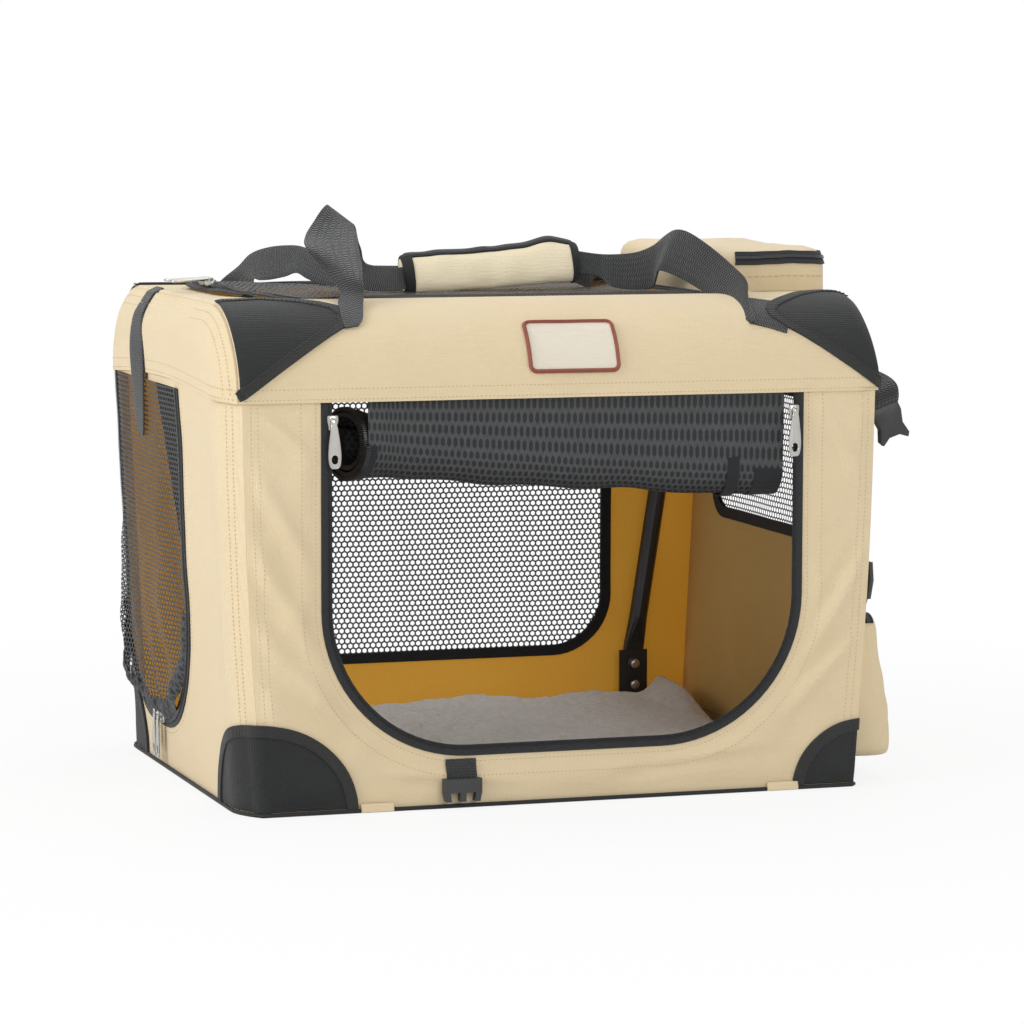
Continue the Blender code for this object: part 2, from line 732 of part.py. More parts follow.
def rolled_door():
    """The front door's mesh, rolled up into a spiral under the doorway's header."""
    steps = 16 * ROLL_TURNS
    centre_y = -WALL_Y + ZIP_THICKNESS + GAP + ROLL_RADIUS + ROLL_SHEET / 2
    centre_z = DOORWAY_TOP - ROLL_DROP - ROLL_RADIUS
    outside, inside = [], []
    for step in range(steps + 1):
        share = step / steps
        angle = pi + 2 * pi * ROLL_TURNS * (1 - share)
        radius = ROLL_CORE + (ROLL_RADIUS - ROLL_CORE) * share
        y_share, z_share = cos(angle), sin(angle)
        outside.append((centre_y + (radius + ROLL_SHEET / 2) * y_share, centre_z + (radius + ROLL_SHEET / 2) * z_share))
        inside.append((centre_y + (radius - ROLL_SHEET / 2) * y_share, centre_z + (radius - ROLL_SHEET / 2) * z_share))
    outside.append((outside[-1][0], WALL_TOP))
    inside.append((inside[-1][0], WALL_TOP))
    outline = outside + inside[::-1]

    def place(u, v, w):
        sink = ROLL_SLOPE * (w - ROLL_CENTRE_X) / ROLL_LENGTH
        hang = max(min((DOORWAY_TOP - v) / (2 * ROLL_RADIUS), 1), 0)
        return Vector((w, u, v - sink * hang))

    low = ROLL_CENTRE_X - ROLL_LENGTH / 2
    bm = prism([outline], place, low, low + ROLL_LENGTH)
    bmesh.ops.triangulate(bm, faces=bm.faces)
    add_piece("rolled_door", bm, mesh_black)


# Carry handle
def hand_wrap():
    """A padded wrap that gathers the four handle straps."""
    centre = Vector((0, 0, HEIGHT + WRAP_CLEARANCE + WRAP_HEIGHT / 2))
    half = WRAP_LENGTH / 2
    stations = [(-half, 0.86), (-half * 0.94, 0.97), (-half * 0.5, 1.0), (0, 0.97), (half * 0.5, 1.0),
                (half * 0.94, 0.97), (half, 0.86)]
    rings = []
    sides = 16
    for x, swell in stations:
        ring = []
        for step in range(sides):
            angle = 2 * pi * step / sides
            y = WRAP_DEPTH / 2 * swell * cos(angle)
            z = WRAP_HEIGHT / 2 * swell * sin(angle)
            ring.append(centre + Vector((x, y, z)))
        rings.append(ring)
    add_piece("hand_wrap", loft(rings), fabric, origin=centre)


def smooth_path(points, steps):
    """Points on a Catmull-Rom curve through a few chosen ones."""
    padded = [points[0] * 2 - points[1]] + points + [points[-1] * 2 - points[-2]]
    spans = len(points) - 1
    path = []
    for step in range(steps + 1):
        place = min(step / steps * spans, spans - 1e-9)
        index = int(place)
        t = place - index
        p0, p1, p2, p3 = padded[index:index + 4]
        path.append(0.5 * (2 * p1 + (p2 - p0) * t + (2 * p0 - 5 * p1 + 4 * p2 - p3) * t * t
                           + (3 * p1 - p0 - 3 * p2 + p3) * t * t * t))
    return path


def handle_strap(side, end):
    """Half of a handle strap, from its foot on the corner patch to the end of the wrap."""
    foot_s = STRAIGHT_SKIRT + CORNER_ARC - TOP_PATCH_TIP_DROP
    lift = GAP * 2 + PATCH + WEBBING_THICKNESS / 2
    foot = cover_point(end, side * STRAP_FOOT_X, foot_s, lift)
    sewn = cover_point(end, side * STRAP_FOOT_X, foot_s + TOP_PATCH_TIP_DROP / 2, lift + WEBBING_THICKNESS)
    above = cover_point(end, side * STRAP_FOOT_X, foot_s + TOP_PATCH_TIP_DROP, lift + WEBBING_THICKNESS * 4)
    wrap_z = HEIGHT + WRAP_CLEARANCE + WRAP_HEIGHT / 2
    rise = Vector((side * STRAP_RISE_X, end * ARC_CENTRE_Y, HEIGHT + STRAP_RISE))
    peak = Vector((side * STRAP_PEAK_X, end * STRAP_PEAK_Y, HEIGHT + STRAP_PEAK_HEIGHT))
    crest = Vector((side * STRAP_CREST_X, end * STRAP_CREST_Y, HEIGHT + STRAP_PEAK_HEIGHT))
    near = Vector((side * (WRAP_LENGTH + WEBBING) / 2, end * STRAP_SPREAD / 2, wrap_z))
    finish = Vector((side * (WRAP_LENGTH / 2 + GAP * 2), end * STRAP_SPREAD / 2, wrap_z))
    path = smooth_path([foot, sewn, above, rise, peak, crest, near], STRAP_STEPS) + [finish]
    across = []
    for step in range(len(path)):
        share = step / (len(path) - 1)
        turn = pi / 2 * min(max((share - 0.3) / 0.5, 0), 1)
        across.append(Vector((cos(turn), 0, sin(turn))))
    name = "handle_strap_" + ("left" if side == LEFT else "right") + ("_front" if end == FRONT else "_back")
    widths_path = ribbon(path, across, WEBBING * 0.75, WEBBING_THICKNESS)
    add_piece(name, widths_path, black_fabric)


# Zip sliders and pulls
def slider_block(name, centre, along, out):
    """A slider body: a waisted block that rides on a zip."""
    side = along.cross(out)
    half = SLIDER_LENGTH / 2
    stations = [(-half, 0.72), (-half * 0.5, 1.0), (0, 0.84), (half * 0.6, 0.84), (half, 0.6)]
    rings = []
    for shift, waist in stations:
        wide = side * SLIDER_WIDTH / 2 * waist
        point = centre + along * shift
        top = out * SLIDER_THICKNESS
        rings.append([point - wide, point + wide, point + wide * 0.8 + top, point - wide * 0.8 + top])
    return add_piece(name, loft(rings), nickel, origin=centre)


def pull_plate(name, pivot, down, out, width_direction):
    """A flat pull with a hole, hung from a slider."""
    half = PULL_WIDTH / 2
    corner = half * 0.8
    outline = rounded(-half, half, 0, PULL_LENGTH, [corner * 0.5, corner * 0.5, corner, corner], 4)
    hole = arc(0, PULL_LENGTH - PULL_HOLE * 1.3, PULL_HOLE / 2, 0, 330, 11)

    def place(u, v, w):
        return pivot + width_direction * u + down * v + out * w

    add_piece(name, prism([outline, hole], place, 0, PULL_THICKNESS), nickel, origin=pivot)


def front_slider(side):
    x = side * (DOORWAY_LENGTH / 2 - ZIP_WIDTH / 2)
    z = SKIRT_Z - SLIDER_REST_DROP
    out = Vector((0, -1, 0))
    centre = Vector((x, -WALL_Y - GAP, z))
    label = "left" if side == LEFT else "right"
    slider_block("front_slider_" + label, centre, Vector((0, 0, 1)), out)
    pivot = centre + out * (SLIDER_THICKNESS + GAP) + Vector((0, 0, PULL_TUCK))
    pull_plate("front_pull_" + label, pivot, Vector((0, 0, -1)), out, Vector((1, 0, 0)))


def left_slider(end):
    """One of the two sliders that meet at the middle of the left door's sill."""
    z = WINDOW_SILL + ZIP_WIDTH / 2
    middle = (-WALL_INNER_Y + WINDOW_FRONT_MARGIN + WALL_INNER_Y - WINDOW_BACK_MARGIN) / 2
    y = middle + end * (SLIDER_LENGTH + SLIDER_PAIR_GAP) / 2
    lean = atan2(FLARE, HEIGHT)
    out = Vector((-cos(lean), 0, -sin(lean)))
    up = Vector((-sin(lean), 0, cos(lean)))
    centre = Vector((-wall_half_length(z), y, z)) + out * GAP
    label = "front" if end == FRONT else "back"
    slider_block("left_slider_" + label, centre, Vector((0, -end, 0)), out)
    pivot = centre + out * (SLIDER_THICKNESS + GAP) + up * PULL_TUCK
    pull_plate("left_pull_" + label, pivot, Vector((0, 0, -1)), out, Vector((0, 1, 0)))


def top_slider(end):
    """A slider at the round end of the top door, with its pull lying along the cover."""
    x = -TOP_DOOR_LEFT + ZIP_WIDTH / 2
    y = end * (SLIDER_LENGTH + SLIDER_PAIR_GAP) / 2
    out = Vector((0, 0, 1))
    centre = Vector((x, y, HEIGHT + GAP))
    label = "front" if end == FRONT else "back"
    slider = slider_block("top_slider_" + label, centre, Vector((0, -end, 0)), out)
    low = (x - PULL_LENGTH, y - PULL_WIDTH * TOP_PULL_SHARE / 2, HEIGHT + GAP)
    high = (x, y + PULL_WIDTH * TOP_PULL_SHARE / 2, HEIGHT + GAP + PULL_THICKNESS)
    combine(slider, box(low, high), "UNION")


# Pouches
def pillow(low, high, corner, axis):
    """A soft box whose outer face is rounded over, for a pouch that bulges along an axis."""
    u0, v0, w0 = low
    u1, v1, w1 = high
    levels = [(0, w0), (0, w0 + (w1 - w0) * 0.55), (corner * 0.25, w0 + (w1 - w0) * 0.85), (corner, w1)]
    rings = []
    for inset, w in levels:
        radius = max(corner - inset, corner * 0.4)
        outline = rounded(u0 + inset, u1 - inset, v0 + inset, v1 - inset, [radius] * 4, 4)
        rings.append([axis(u, v, w) for u, v in outline])
    return loft(rings)


def top_pouch():
    x0 = TOP_POUCH_RIGHT - TOP_POUCH_LENGTH
    y1 = TOP_POUCH_BACK
    bm = pillow((x0, y1 - TOP_POUCH_DEPTH, HEIGHT + GAP), (TOP_POUCH_RIGHT, y1, HEIGHT + TOP_POUCH_HEIGHT),
                POUCH_ROUND, lambda u, v, w: Vector((u, v, w)))
    add_piece("top_pouch", bm, fabric)


def side_pouch():
    half = SIDE_POUCH_LENGTH / 2
    near = GAP + PATCH + GAP
    bm = pillow((-half, SIDE_POUCH_SILL, near), (half, SIDE_POUCH_SILL + SIDE_POUCH_HEIGHT, SIDE_POUCH_DEPTH),
                POUCH_ROUND, end_place(RIGHT))
    add_piece("side_pouch", bm, fabric)


# Straps and buckles
def ribbon_strap():
    """A hook-and-loop ribbon that hangs from the left end and ties the left door up."""
    z_top = HEIGHT - RIBBON_TOP_DROP
    x = -half_length(z_top) - GAP * 2
    low = z_top - RIBBON_LENGTH
    bm = box((x - RIBBON_THICKNESS, RIBBON_Y - RIBBON_WIDTH / 2, low), (x, RIBBON_Y + RIBBON_WIDTH / 2, z_top))
    add_piece("ribbon_strap", bm, black_fabric, origin=(x, RIBBON_Y, z_top))


def front_closing_strap():
    """A strap with a male buckle, hung from the foot of the front wall."""
    y = -WALL_Y - GAP
    half = STRAP_WIDTH / 2
    top = CLOSING_STRAP_TOP
    low = top - CLOSING_STRAP_DROP + BUCKLE_THICKNESS / 2
    x = CLOSING_STRAP_X
    strap = box((x - half, y - WEBBING_THICKNESS, low), (x + half, y, top))
    add_piece("closing_strap", strap, black_fabric, origin=(x, y, top))
    front = y - WEBBING_THICKNESS - GAP
    outline = male_buckle_outline()

    def place(u, v, w):
        return Vector((x + u, front - w, low + BUCKLE_TAB * 0.5 - v))

    bm = prism([outline], place, 0, BUCKLE_THICKNESS)
    return add_piece("male_buckle", bm, plastic, origin=(x, y, top))


def male_buckle_outline():
    """A buckle frame with two side prongs and a middle guide."""
    half = BUCKLE_WIDTH / 2
    body = BUCKLE_TAB * 0.5
    tip = body + PRONG_LENGTH * 0.45
    guide = PRONG_WIDTH / 2
    prong = PRONG_WIDTH
    return [(-half, 0), (half, 0), (half, body), (half - prong * 0.3, tip), (half - prong * 1.2, tip),
            (half - prong, body), (guide, body), (guide, tip), (-guide, tip), (-guide, body),
            (-half + prong, body), (-half + prong * 1.2, tip), (-half + prong * 0.3, tip), (-half, body)]


def right_end_buckle():
    """A female buckle on a short tab, hung from the lower edge of the right end band."""
    z = SKIRT_Z + BUCKLE_TAB
    x = half_length(z) + GAP
    low = SKIRT_Z - BUCKLE_TAB
    y0, y1 = TAB_Y - STRAP_WIDTH / 2, TAB_Y + STRAP_WIDTH / 2
    tab = box((x, y0, low), (x + WEBBING_THICKNESS, y1, z))
    add_piece("buckle_tab", tab, black_fabric, origin=(x, TAB_Y, z))
    near = x + WEBBING_THICKNESS + GAP
    half = BUCKLE_WIDTH / 2
    outline = rounded(-half, half, 0, BUCKLE_LENGTH, [half * 0.25] * 4, 3)

    def place(u, v, w):
        return Vector((near + w, TAB_Y + u, low + BUCKLE_TAB * 0.4 - v))

    bm = prism([outline], place, 0, BUCKLE_THICKNESS + GAP * 5)
    piece = add_piece("female_buckle", bm, plastic, origin=(x, TAB_Y, z))
    wall = (BUCKLE_THICKNESS + GAP * 5 - BUCKLE_SLOT) / 2
    slot = box((near + wall, TAB_Y - half * 0.62, low + BUCKLE_TAB * 0.4 - BUCKLE_LENGTH - CUT_OVERRUN),
               (near + wall + BUCKLE_SLOT, TAB_Y + half * 0.62, low + BUCKLE_TAB * 0.4 - BUCKLE_LENGTH * 0.45))
    combine(piece, slot, "DIFFERENCE")


def side_adjuster():
    """A webbing adjuster on the right end wall, above the pouch."""
    top = ADJUSTER_TOP
    place = end_place(RIGHT)
    half = STRAP_WIDTH / 2 + WEBBING_THICKNESS
    low = top - ADJUSTER_STRAP
    outline = rounded(TAB_Y - half, TAB_Y + half, low, low + ADJUSTER_LENGTH, [WEBBING_THICKNESS] * 4, 3)
    bar = half - WEBBING_THICKNESS * 1.5
    first = low + ADJUSTER_LENGTH * 0.16
    second = low + ADJUSTER_LENGTH * 0.58
    height = ADJUSTER_LENGTH * 0.26
    holes = [rounded(TAB_Y - bar, TAB_Y + bar, start, start + height, [0] * 4) for start in (first, second)]
    bm = prism([outline] + holes, place, GAP, GAP + WEBBING_THICKNESS * 1.6)
    add_piece("side_adjuster", bm, plastic, origin=place(TAB_Y, top, 0))


# Build
clear_scene()
crate = make_collection("folding_crate")
cutters = make_collection("cutters")
fabric = make_material("cream_twill", FABRIC_COLOUR, 0.85)
black_fabric = make_material("black_webbing", BLACK, 0.8)
mesh_black = make_material("black_mesh", BLACK, 0.7)
steel_black = make_material("black_steel", BLACK, 0.4, 0.6)
nickel = make_material("nickel", STEEL, 0.3, 1.0)
plastic = make_material("black_plastic", BLACK, 0.45)
fleece = make_material("fleece", FLEECE, 0.95)
label_cloth = make_material("label_cloth", LABEL_COLOUR, 0.8)

frame_half_x = bottom_frame()
floor_panel()
bottom_piping()
fleece_mat(frame_half_x)
front_wall()
back_wall()
left_wall()
right_wall()
cover_shell()
top_door()
label_patch()
rolled_door()
hand_wrap()
top_pouch()
side_pouch()
ribbon_strap()
front_closing_strap()
right_end_buckle()
side_adjuster()
for side in (LEFT, RIGHT):
    support(side)
    end_band(side)
    front_slider(side)
    for end in (FRONT, BACK):
        hinge_bracket(side, end)
        corner_patch(side, end)
        top_patch(side, end)
        handle_strap(side, end)
for end in (FRONT, BACK):
    left_slider(end)
    top_slider(end)
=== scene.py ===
"""A soft folding pet crate: cream canvas and black net on two steel hoops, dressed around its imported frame."""
from math import atan2, ceil, cos, hypot, pi, radians, sin, sqrt

import bmesh
import bpy
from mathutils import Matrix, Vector, noise


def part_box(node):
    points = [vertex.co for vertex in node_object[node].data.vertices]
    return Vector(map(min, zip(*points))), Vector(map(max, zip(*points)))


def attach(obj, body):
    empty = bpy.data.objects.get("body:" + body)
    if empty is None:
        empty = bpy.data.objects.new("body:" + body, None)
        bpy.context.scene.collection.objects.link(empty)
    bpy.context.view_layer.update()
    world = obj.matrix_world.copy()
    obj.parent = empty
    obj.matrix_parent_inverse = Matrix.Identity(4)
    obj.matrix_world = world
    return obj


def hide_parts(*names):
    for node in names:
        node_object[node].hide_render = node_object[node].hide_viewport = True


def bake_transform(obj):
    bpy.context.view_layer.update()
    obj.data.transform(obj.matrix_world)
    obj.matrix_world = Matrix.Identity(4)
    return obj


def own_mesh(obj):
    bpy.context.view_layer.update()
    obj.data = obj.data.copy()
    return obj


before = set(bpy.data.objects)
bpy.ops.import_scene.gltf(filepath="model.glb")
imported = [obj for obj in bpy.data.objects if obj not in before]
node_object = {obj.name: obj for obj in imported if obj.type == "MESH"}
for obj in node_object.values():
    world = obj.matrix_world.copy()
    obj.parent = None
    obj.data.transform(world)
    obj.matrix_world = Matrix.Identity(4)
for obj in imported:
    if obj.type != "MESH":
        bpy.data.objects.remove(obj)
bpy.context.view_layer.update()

# Studio
# The crate stands on a seamless white sweep, lit softly from the left and front by large lamps.
# The camera looks slightly down on the front from its left, through a long lens.
CAMERA_PLACE = Vector((-1.0761, -3.3272, 0.5786))
CAMERA_YAW, CAMERA_PITCH, CAMERA_ROLL = radians(18.23), radians(5.97), radians(0.15)
LENS_PIXELS, PHOTO_PIXELS, FILM = 4200, 1024, 36


class Value:
    """One socket of a finish, which can stand in a sum."""
    def __init__(self, socket):
        self.socket = socket

    def other(self, name):
        return Value(self.socket.node.outputs[name])

    def __add__(self, term): return reckon("ADD", self, term)
    def __sub__(self, term): return reckon("SUBTRACT", self, term)
    def __rsub__(self, term): return reckon("SUBTRACT", term, self)
    def __mul__(self, term): return reckon("MULTIPLY", self, term)
    def __mod__(self, term): return reckon("FLOORED_MODULO", self, term)
    def __gt__(self, term): return reckon("GREATER_THAN", self, term)
    def __abs__(self): return reckon("ABSOLUTE", self)
    __radd__, __rmul__ = __add__, __mul__


def reckon(operation, *terms):
    """A Math node on sockets and numbers."""
    tree = next(term.socket.id_data for term in terms if isinstance(term, Value))
    node = tree.nodes.new("ShaderNodeMath")
    node.operation = operation
    for socket, term in zip(node.inputs, terms):
        if isinstance(term, Value):
            tree.links.new(term.socket, socket)
        else:
            socket.default_value = term
    return Value(node.outputs[0])


def sine(value): return reckon("SINE", value)
def least(one, two): return reckon("MINIMUM", one, two)
def most(one, two): return reckon("MAXIMUM", one, two)


class Finish:
    """A material in the making: its tree, its shader and the numbers on the shader's sockets."""
    def __init__(self, name, sockets=None, tree=None):
        if tree is None:
            self.material = bpy.data.materials.new(name)
            self.material.use_nodes = True
            tree = self.material.node_tree
        self.tree = tree
        self.shader = tree.nodes.get("Principled BSDF")
        self.feed(self.shader, sockets or {})

    def feed(self, node, sockets):
        for name, value in sockets.items():
            if isinstance(value, Value):
                self.tree.links.new(value.socket, node.inputs[name])
            else:
                node.inputs[name].default_value = value

    def node(self, kind, settings=None, sockets=None, out=0):
        node = self.tree.nodes.new("ShaderNode" + kind)
        for name, value in (settings or {}).items():
            setattr(node, name, value)
        self.feed(node, sockets or {})
        return Value(node.outputs[out])

    def noise(self, scale, detail=3.0):
        place = self.node("TexCoord", out="Object")
        return self.node("TexNoise", {}, {"Vector": place, "Scale": scale, "Detail": detail})

    def blend(self, share, one, two):
        return self.node("Mix", {"data_type": "RGBA"}, {0: share, 6: one, 7: two}, out=2)

    def set(self, **sockets):
        self.feed(self.shader, {name.replace("_", " "): value for name, value in sockets.items()})
        return self

    def bump(self, height, distance, strength=1.0):
        return self.node("Bump", {}, {"Height": height, "Distance": distance, "Strength": strength})


def paint(red, green, blue):
    """A colour read off a swatch, 0 to 255, as the shader takes it."""
    shades = [c / 255 / 12.92 if c <= 10 else ((c / 255 + 0.055) / 1.055) ** 2.4 for c in (red, green, blue)]
    return (*shades, 1.0)


def shown_rays(finish):
    """1 for the rays that should see the backdrop as white paper."""
    rays = finish.node("LightPath", out="Is Camera Ray")
    return most(rays, most(rays.other("Is Glossy Ray"), rays.other("Is Transmission Ray")))


scene = bpy.context.scene
scene.view_settings.view_transform = "Standard"
lens = bpy.data.cameras.new("camera")
lens.lens, lens.sensor_width = LENS_PIXELS / PHOTO_PIXELS * FILM, FILM
lens.clip_end = 50
camera = bpy.data.objects.new("camera", lens)
camera.location = CAMERA_PLACE
aim = Vector((sin(CAMERA_YAW) * cos(CAMERA_PITCH), cos(CAMERA_YAW) * cos(CAMERA_PITCH), -sin(CAMERA_PITCH)))
camera.rotation_mode = "QUATERNION"
camera.rotation_quaternion = aim.to_track_quat("-Z", "Y")
camera.rotation_mode = "XYZ"
camera.rotation_euler.rotate_axis("Z", CAMERA_ROLL)
scene.collection.objects.link(camera)
scene.camera = camera

world = bpy.data.worlds.new("studio")
world.use_nodes = True
scene.world = world
sky = Finish("studio", tree=world.node_tree)
lit = sky.node("Background", {}, {"Color": (1, 1, 1, 1), "Strength": 0.56})
seen = sky.node("Background", {}, {"Color": (1, 1, 1, 1), "Strength": 1.0})
both = sky.node("MixShader", {}, {0: shown_rays(sky), 1: lit, 2: seen})
sky.feed(world.node_tree.nodes["World Output"], {"Surface": both})

for name, place, size, watts in (("left lamp", (-2.4, -0.5, 1.3), 1.3, 32), ("front lamp", (0.5, -2.9, 1.3), 1.4, 21),
                                 ("top lamp", (0.3, 0.8, 2.3), 1.6, 15)):
    lamp = bpy.data.lights.new(name, "AREA")
    lamp.size, lamp.energy = size, watts
    lamp_object = bpy.data.objects.new(name, lamp)
    lamp_object.location = place
    lamp_object.rotation_euler = (Vector((0, 0, 0.2)) - Vector(place)).to_track_quat("-Z", "Y").to_euler()
    scene.collection.objects.link(lamp_object)

paper = Finish("white paper", {"Base Color": paint(236, 236, 236), "Roughness": 0.95})
glow = paper.node("Emission", {}, {"Strength": 1.0})
away = paper.node("VectorMath", {"operation": "LENGTH"}, {0: paper.node("TexCoord", out="Object")}, out="Value")
faded = paper.node("MapRange", {"interpolation_type": "SMOOTHSTEP"}, {0: away, 1: 0.3, 2: 1.1, 3: 0.86, 4: 1.0})
shown = paper.node("MixShader", {}, {0: shown_rays(paper) * faded, 1: Value(paper.shader.outputs[0]), 2: glow})
paper.feed(paper.tree.nodes["Material Output"], {"Surface": shown})
sweep_mesh = bpy.data.meshes.new("floor")
sweep_mesh.from_pydata([(-14, -14, 0), (14, -14, 0), (14, 14, 0), (-14, 14, 0)], [], [(0, 1, 2, 3)])
sweep_mesh.materials.append(paper.material)
floor_piece = bpy.data.objects.new("floor", sweep_mesh)
scene.collection.objects.link(floor_piece)


# Front wall
# A panel of cream 600-denier polyester canvas with a D-shaped doorway cut in it, lined in the same cloth.
# It is cut flat, zipped round the doorway and sewn to the end walls with a double row of tan thread.
FRONT_Y = 0.1975
FOOT_HALF, LEAN, WALL_INSET = 0.25, 0.05, 0.0025
WALL_FOOT, WALL_HEAD = 0.0028, 0.332
CLOTH = 0.002
DOOR_HALF, DOOR_SILL, DOOR_CORNER, DOOR_HEAD = 0.1995, 0.0435, 0.118, 0.326
THREAD_PITCH, HEM_ROW = 0.0034, 0.0065
CORNER_ROWS, ROW_LOW, ROW_HIGH = (0.006, 0.0115), 0.008, 0.322


def half_length(z):
    """Half the crate's length, which grows from the foot to the top."""
    return FOOT_HALF + LEAN * z


def wall_half(z):
    """Half the length of the walls, inside the cover's."""
    return half_length(z) - WALL_INSET


LEFT_SWELL, SWELL_RUN = 0.016, 0.036


def left_swell(inward):
    """The left end stands fuller than the frame: it rounds out from its seams, here by the distance from one."""
    near = min(max(inward / SWELL_RUN, 0.0), 1.0)
    return LEFT_SWELL * (1 - (1 - near) ** 2)


class Shape:
    """The mesh of one piece as it is built up: points, faces, places on the flat cloth and finishes."""
    def __init__(self):
        self.points, self.places, self.faces, self.slots = [], [], [], []

    def add(self, points, faces, slot=0, places=None):
        """Points and faces, with one finish's slot for all of them or a list with one for each face."""
        start = len(self.points)
        self.points += [tuple(point) for point in points]
        self.places += places or [(0.0, 0.0)] * len(points)
        self.faces += [tuple(start + index for index in face) for face in faces]
        self.slots += slot if isinstance(slot, list) else [slot] * len(faces)

    def rows(self, rows, slot=0, places=None, loop=False, ring=False, caps=False):
        """Faces through rows of points. A loop joins the last row to the first, a ring each row's ends."""
        count = len(rows[0])
        faces = []
        for row in range(len(rows) if loop else len(rows) - 1):
            here, after = row * count, (row + 1) % len(rows) * count
            for step in range(count if ring else count - 1):
                over = (step + 1) % count
                faces.append((here + step, here + over, after + over, after + step))
        if caps:
            faces += [tuple(range(count))[::-1], tuple((len(rows) - 1) * count + index for index in range(count))]
        flat = [place for row in places for place in row] if places else None
        self.add([point for row in rows for point in row], faces, slot, flat)

    def make(self, name, finishes, body, replaced=(), crisp=40, closed=True):
        """The finished piece, riding on a body if it is given one."""
        mesh = bpy.data.meshes.new(name)
        mesh.from_pydata(self.points, [], self.faces)
        for finish in finishes:
            mesh.materials.append(finish.material)
        for face, own in zip(mesh.polygons, self.slots):
            face.material_index = own
        layer = mesh.uv_layers.new(name="cloth")
        for corner in mesh.loops:
            layer.data[corner.index].uv = self.places[corner.vertex_index]
        shell = bmesh.new()
        shell.from_mesh(mesh)
        bmesh.ops.remove_doubles(shell, verts=shell.verts, dist=1e-6)
        bmesh.ops.dissolve_degenerate(shell, dist=1e-7, edges=shell.edges)
        if closed:
            bmesh.ops.recalc_face_normals(shell, faces=shell.faces)
        shell.to_mesh(mesh)
        shell.free()
        mesh.shade_smooth()
        mesh.set_sharp_from_angle(angle=radians(crisp))
        piece = bpy.data.objects.new(name, mesh)
        scene.collection.objects.link(piece)
        if body:
            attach(piece, body)
        if replaced:
            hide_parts(*replaced)
        return piece


def rounded(u0, u1, v0, v1, corners, steps=12):
    """A rectangle's outline, anticlockwise from its lower left corner, with a radius for each corner."""
    centres = ((u0, v0, 1, 1, 180), (u1, v0, -1, 1, 270), (u1, v1, -1, -1, 0), (u0, v1, 1, -1, 90))
    points = []
    for (u, v, du, dv, start), radius in zip(centres, corners):
        for step in range(steps + 1):
            turn = radians(start + 90 * step / steps)
            points.append((u + du * radius + radius * cos(turn), v + dv * radius + radius * sin(turn)))
    return points


def divide(points, step, closed=True):
    """A path's points with more between them, so that none lie further apart than the step."""
    ends = points[1:] + points[:1] if closed else points[1:]
    result = []
    for (u0, v0), (u1, v1) in zip(points, ends):
        parts = max(1, ceil(hypot(u1 - u0, v1 - v0) / step))
        result += [(u0 + (u1 - u0) * part / parts, v0 + (v1 - v0) * part / parts) for part in range(parts)]
    return result if closed else result + [points[-1]]


def pace(points, pitch, closed=False):
    """Places at an even pitch along a path, each with the path's direction there."""
    ends = points[1:] + points[:1] if closed else points[1:]
    result, carried = [], 0.0
    for (u0, v0), (u1, v1) in zip(points, ends):
        length = hypot(u1 - u0, v1 - v0)
        if length < 1e-9:
            continue
        du, dv = (u1 - u0) / length, (v1 - v0) / length
        while carried < length:
            result.append((u0 + du * carried, v0 + dv * carried, du, dv))
            carried += pitch
        carried -= length
    return result


def reach(outline, centre, turn):
    """How far an outline lies from a point inside it, in one direction."""
    du, dv = cos(turn), sin(turn)
    far = 0.0
    for (u0, v0), (u1, v1) in zip(outline, outline[1:] + outline[:1]):
        eu, ev = u1 - u0, v1 - v0
        cross = du * ev - dv * eu
        if abs(cross) < 1e-12:
            continue
        ahead = ((u0 - centre[0]) * ev - (v0 - centre[1]) * eu) / cross
        along = ((u0 - centre[0]) * dv - (v0 - centre[1]) * du) / cross
        if ahead > 0 and -1e-6 <= along <= 1 + 1e-6:
            far = max(far, ahead)
    return far


def panel(shape, outline, hole, centre, surface, thick, step, rings, lining=0):
    """A sheet of cloth between its outline and a hole, laid on a surface, with a face on both sides."""
    seeds = divide(hole or outline, step) + outline
    turns = sorted({round(atan2(v - centre[1], u - centre[0]), 5) for u, v in seeds})
    far = [reach(outline, centre, turn) for turn in turns]
    near = [reach(hole, centre, turn) if hole else 0.0 for turn in turns]
    count = len(turns)
    points, places, faces, slots = [], [], [], []
    layers = ((0.0, 0), (-thick, lining)) if thick else ((0.0, 0),)
    for layer, (out, slot) in enumerate(layers):
        for ring in range(rings + 1):
            for turn, inner, outer in zip(turns, near, far):
                radius = inner + (outer - inner) * ring / rings
                u, v = centre[0] + radius * cos(turn), centre[1] + radius * sin(turn)
                points.append(surface(u, v, out))
                places.append((u, v))
        first = layer * (rings + 1) * count
        for ring in range(rings):
            here, after = first + ring * count, first + (ring + 1) * count
            for column in range(count):
                over = (column + 1) % count
                face = (here + column, here + over, after + over, after + column)
                faces.append(face if layer == 0 else face[::-1])
                slots.append(slot)
    if thick:
        back = (rings + 1) * count
        for ring in ([0, rings] if hole else [rings]):
            for column in range(count):
                over = (column + 1) % count
                low, high = ring * count + column, ring * count + over
                faces.append((low, high, back + high, back + low))
                slots.append(0)
    shape.add(points, faces, slots, places)


def neighbours(path, index, closed):
    """The points before and after one on a path. At an open path's end, the point itself is one of them."""
    before = path[index - 1] if index or closed else path[0]
    after = path[(index + 1) % len(path)] if index < len(path) - 1 or closed else path[-1]
    return before, after


def leftward(path, index, closed):
    """The way to a path's left at one of its points."""
    (u0, v0), (u1, v1) = neighbours(path, index, closed)
    length = hypot(u1 - u0, v1 - v0) or 1.0
    return -(v1 - v0) / length, (u1 - u0) / length


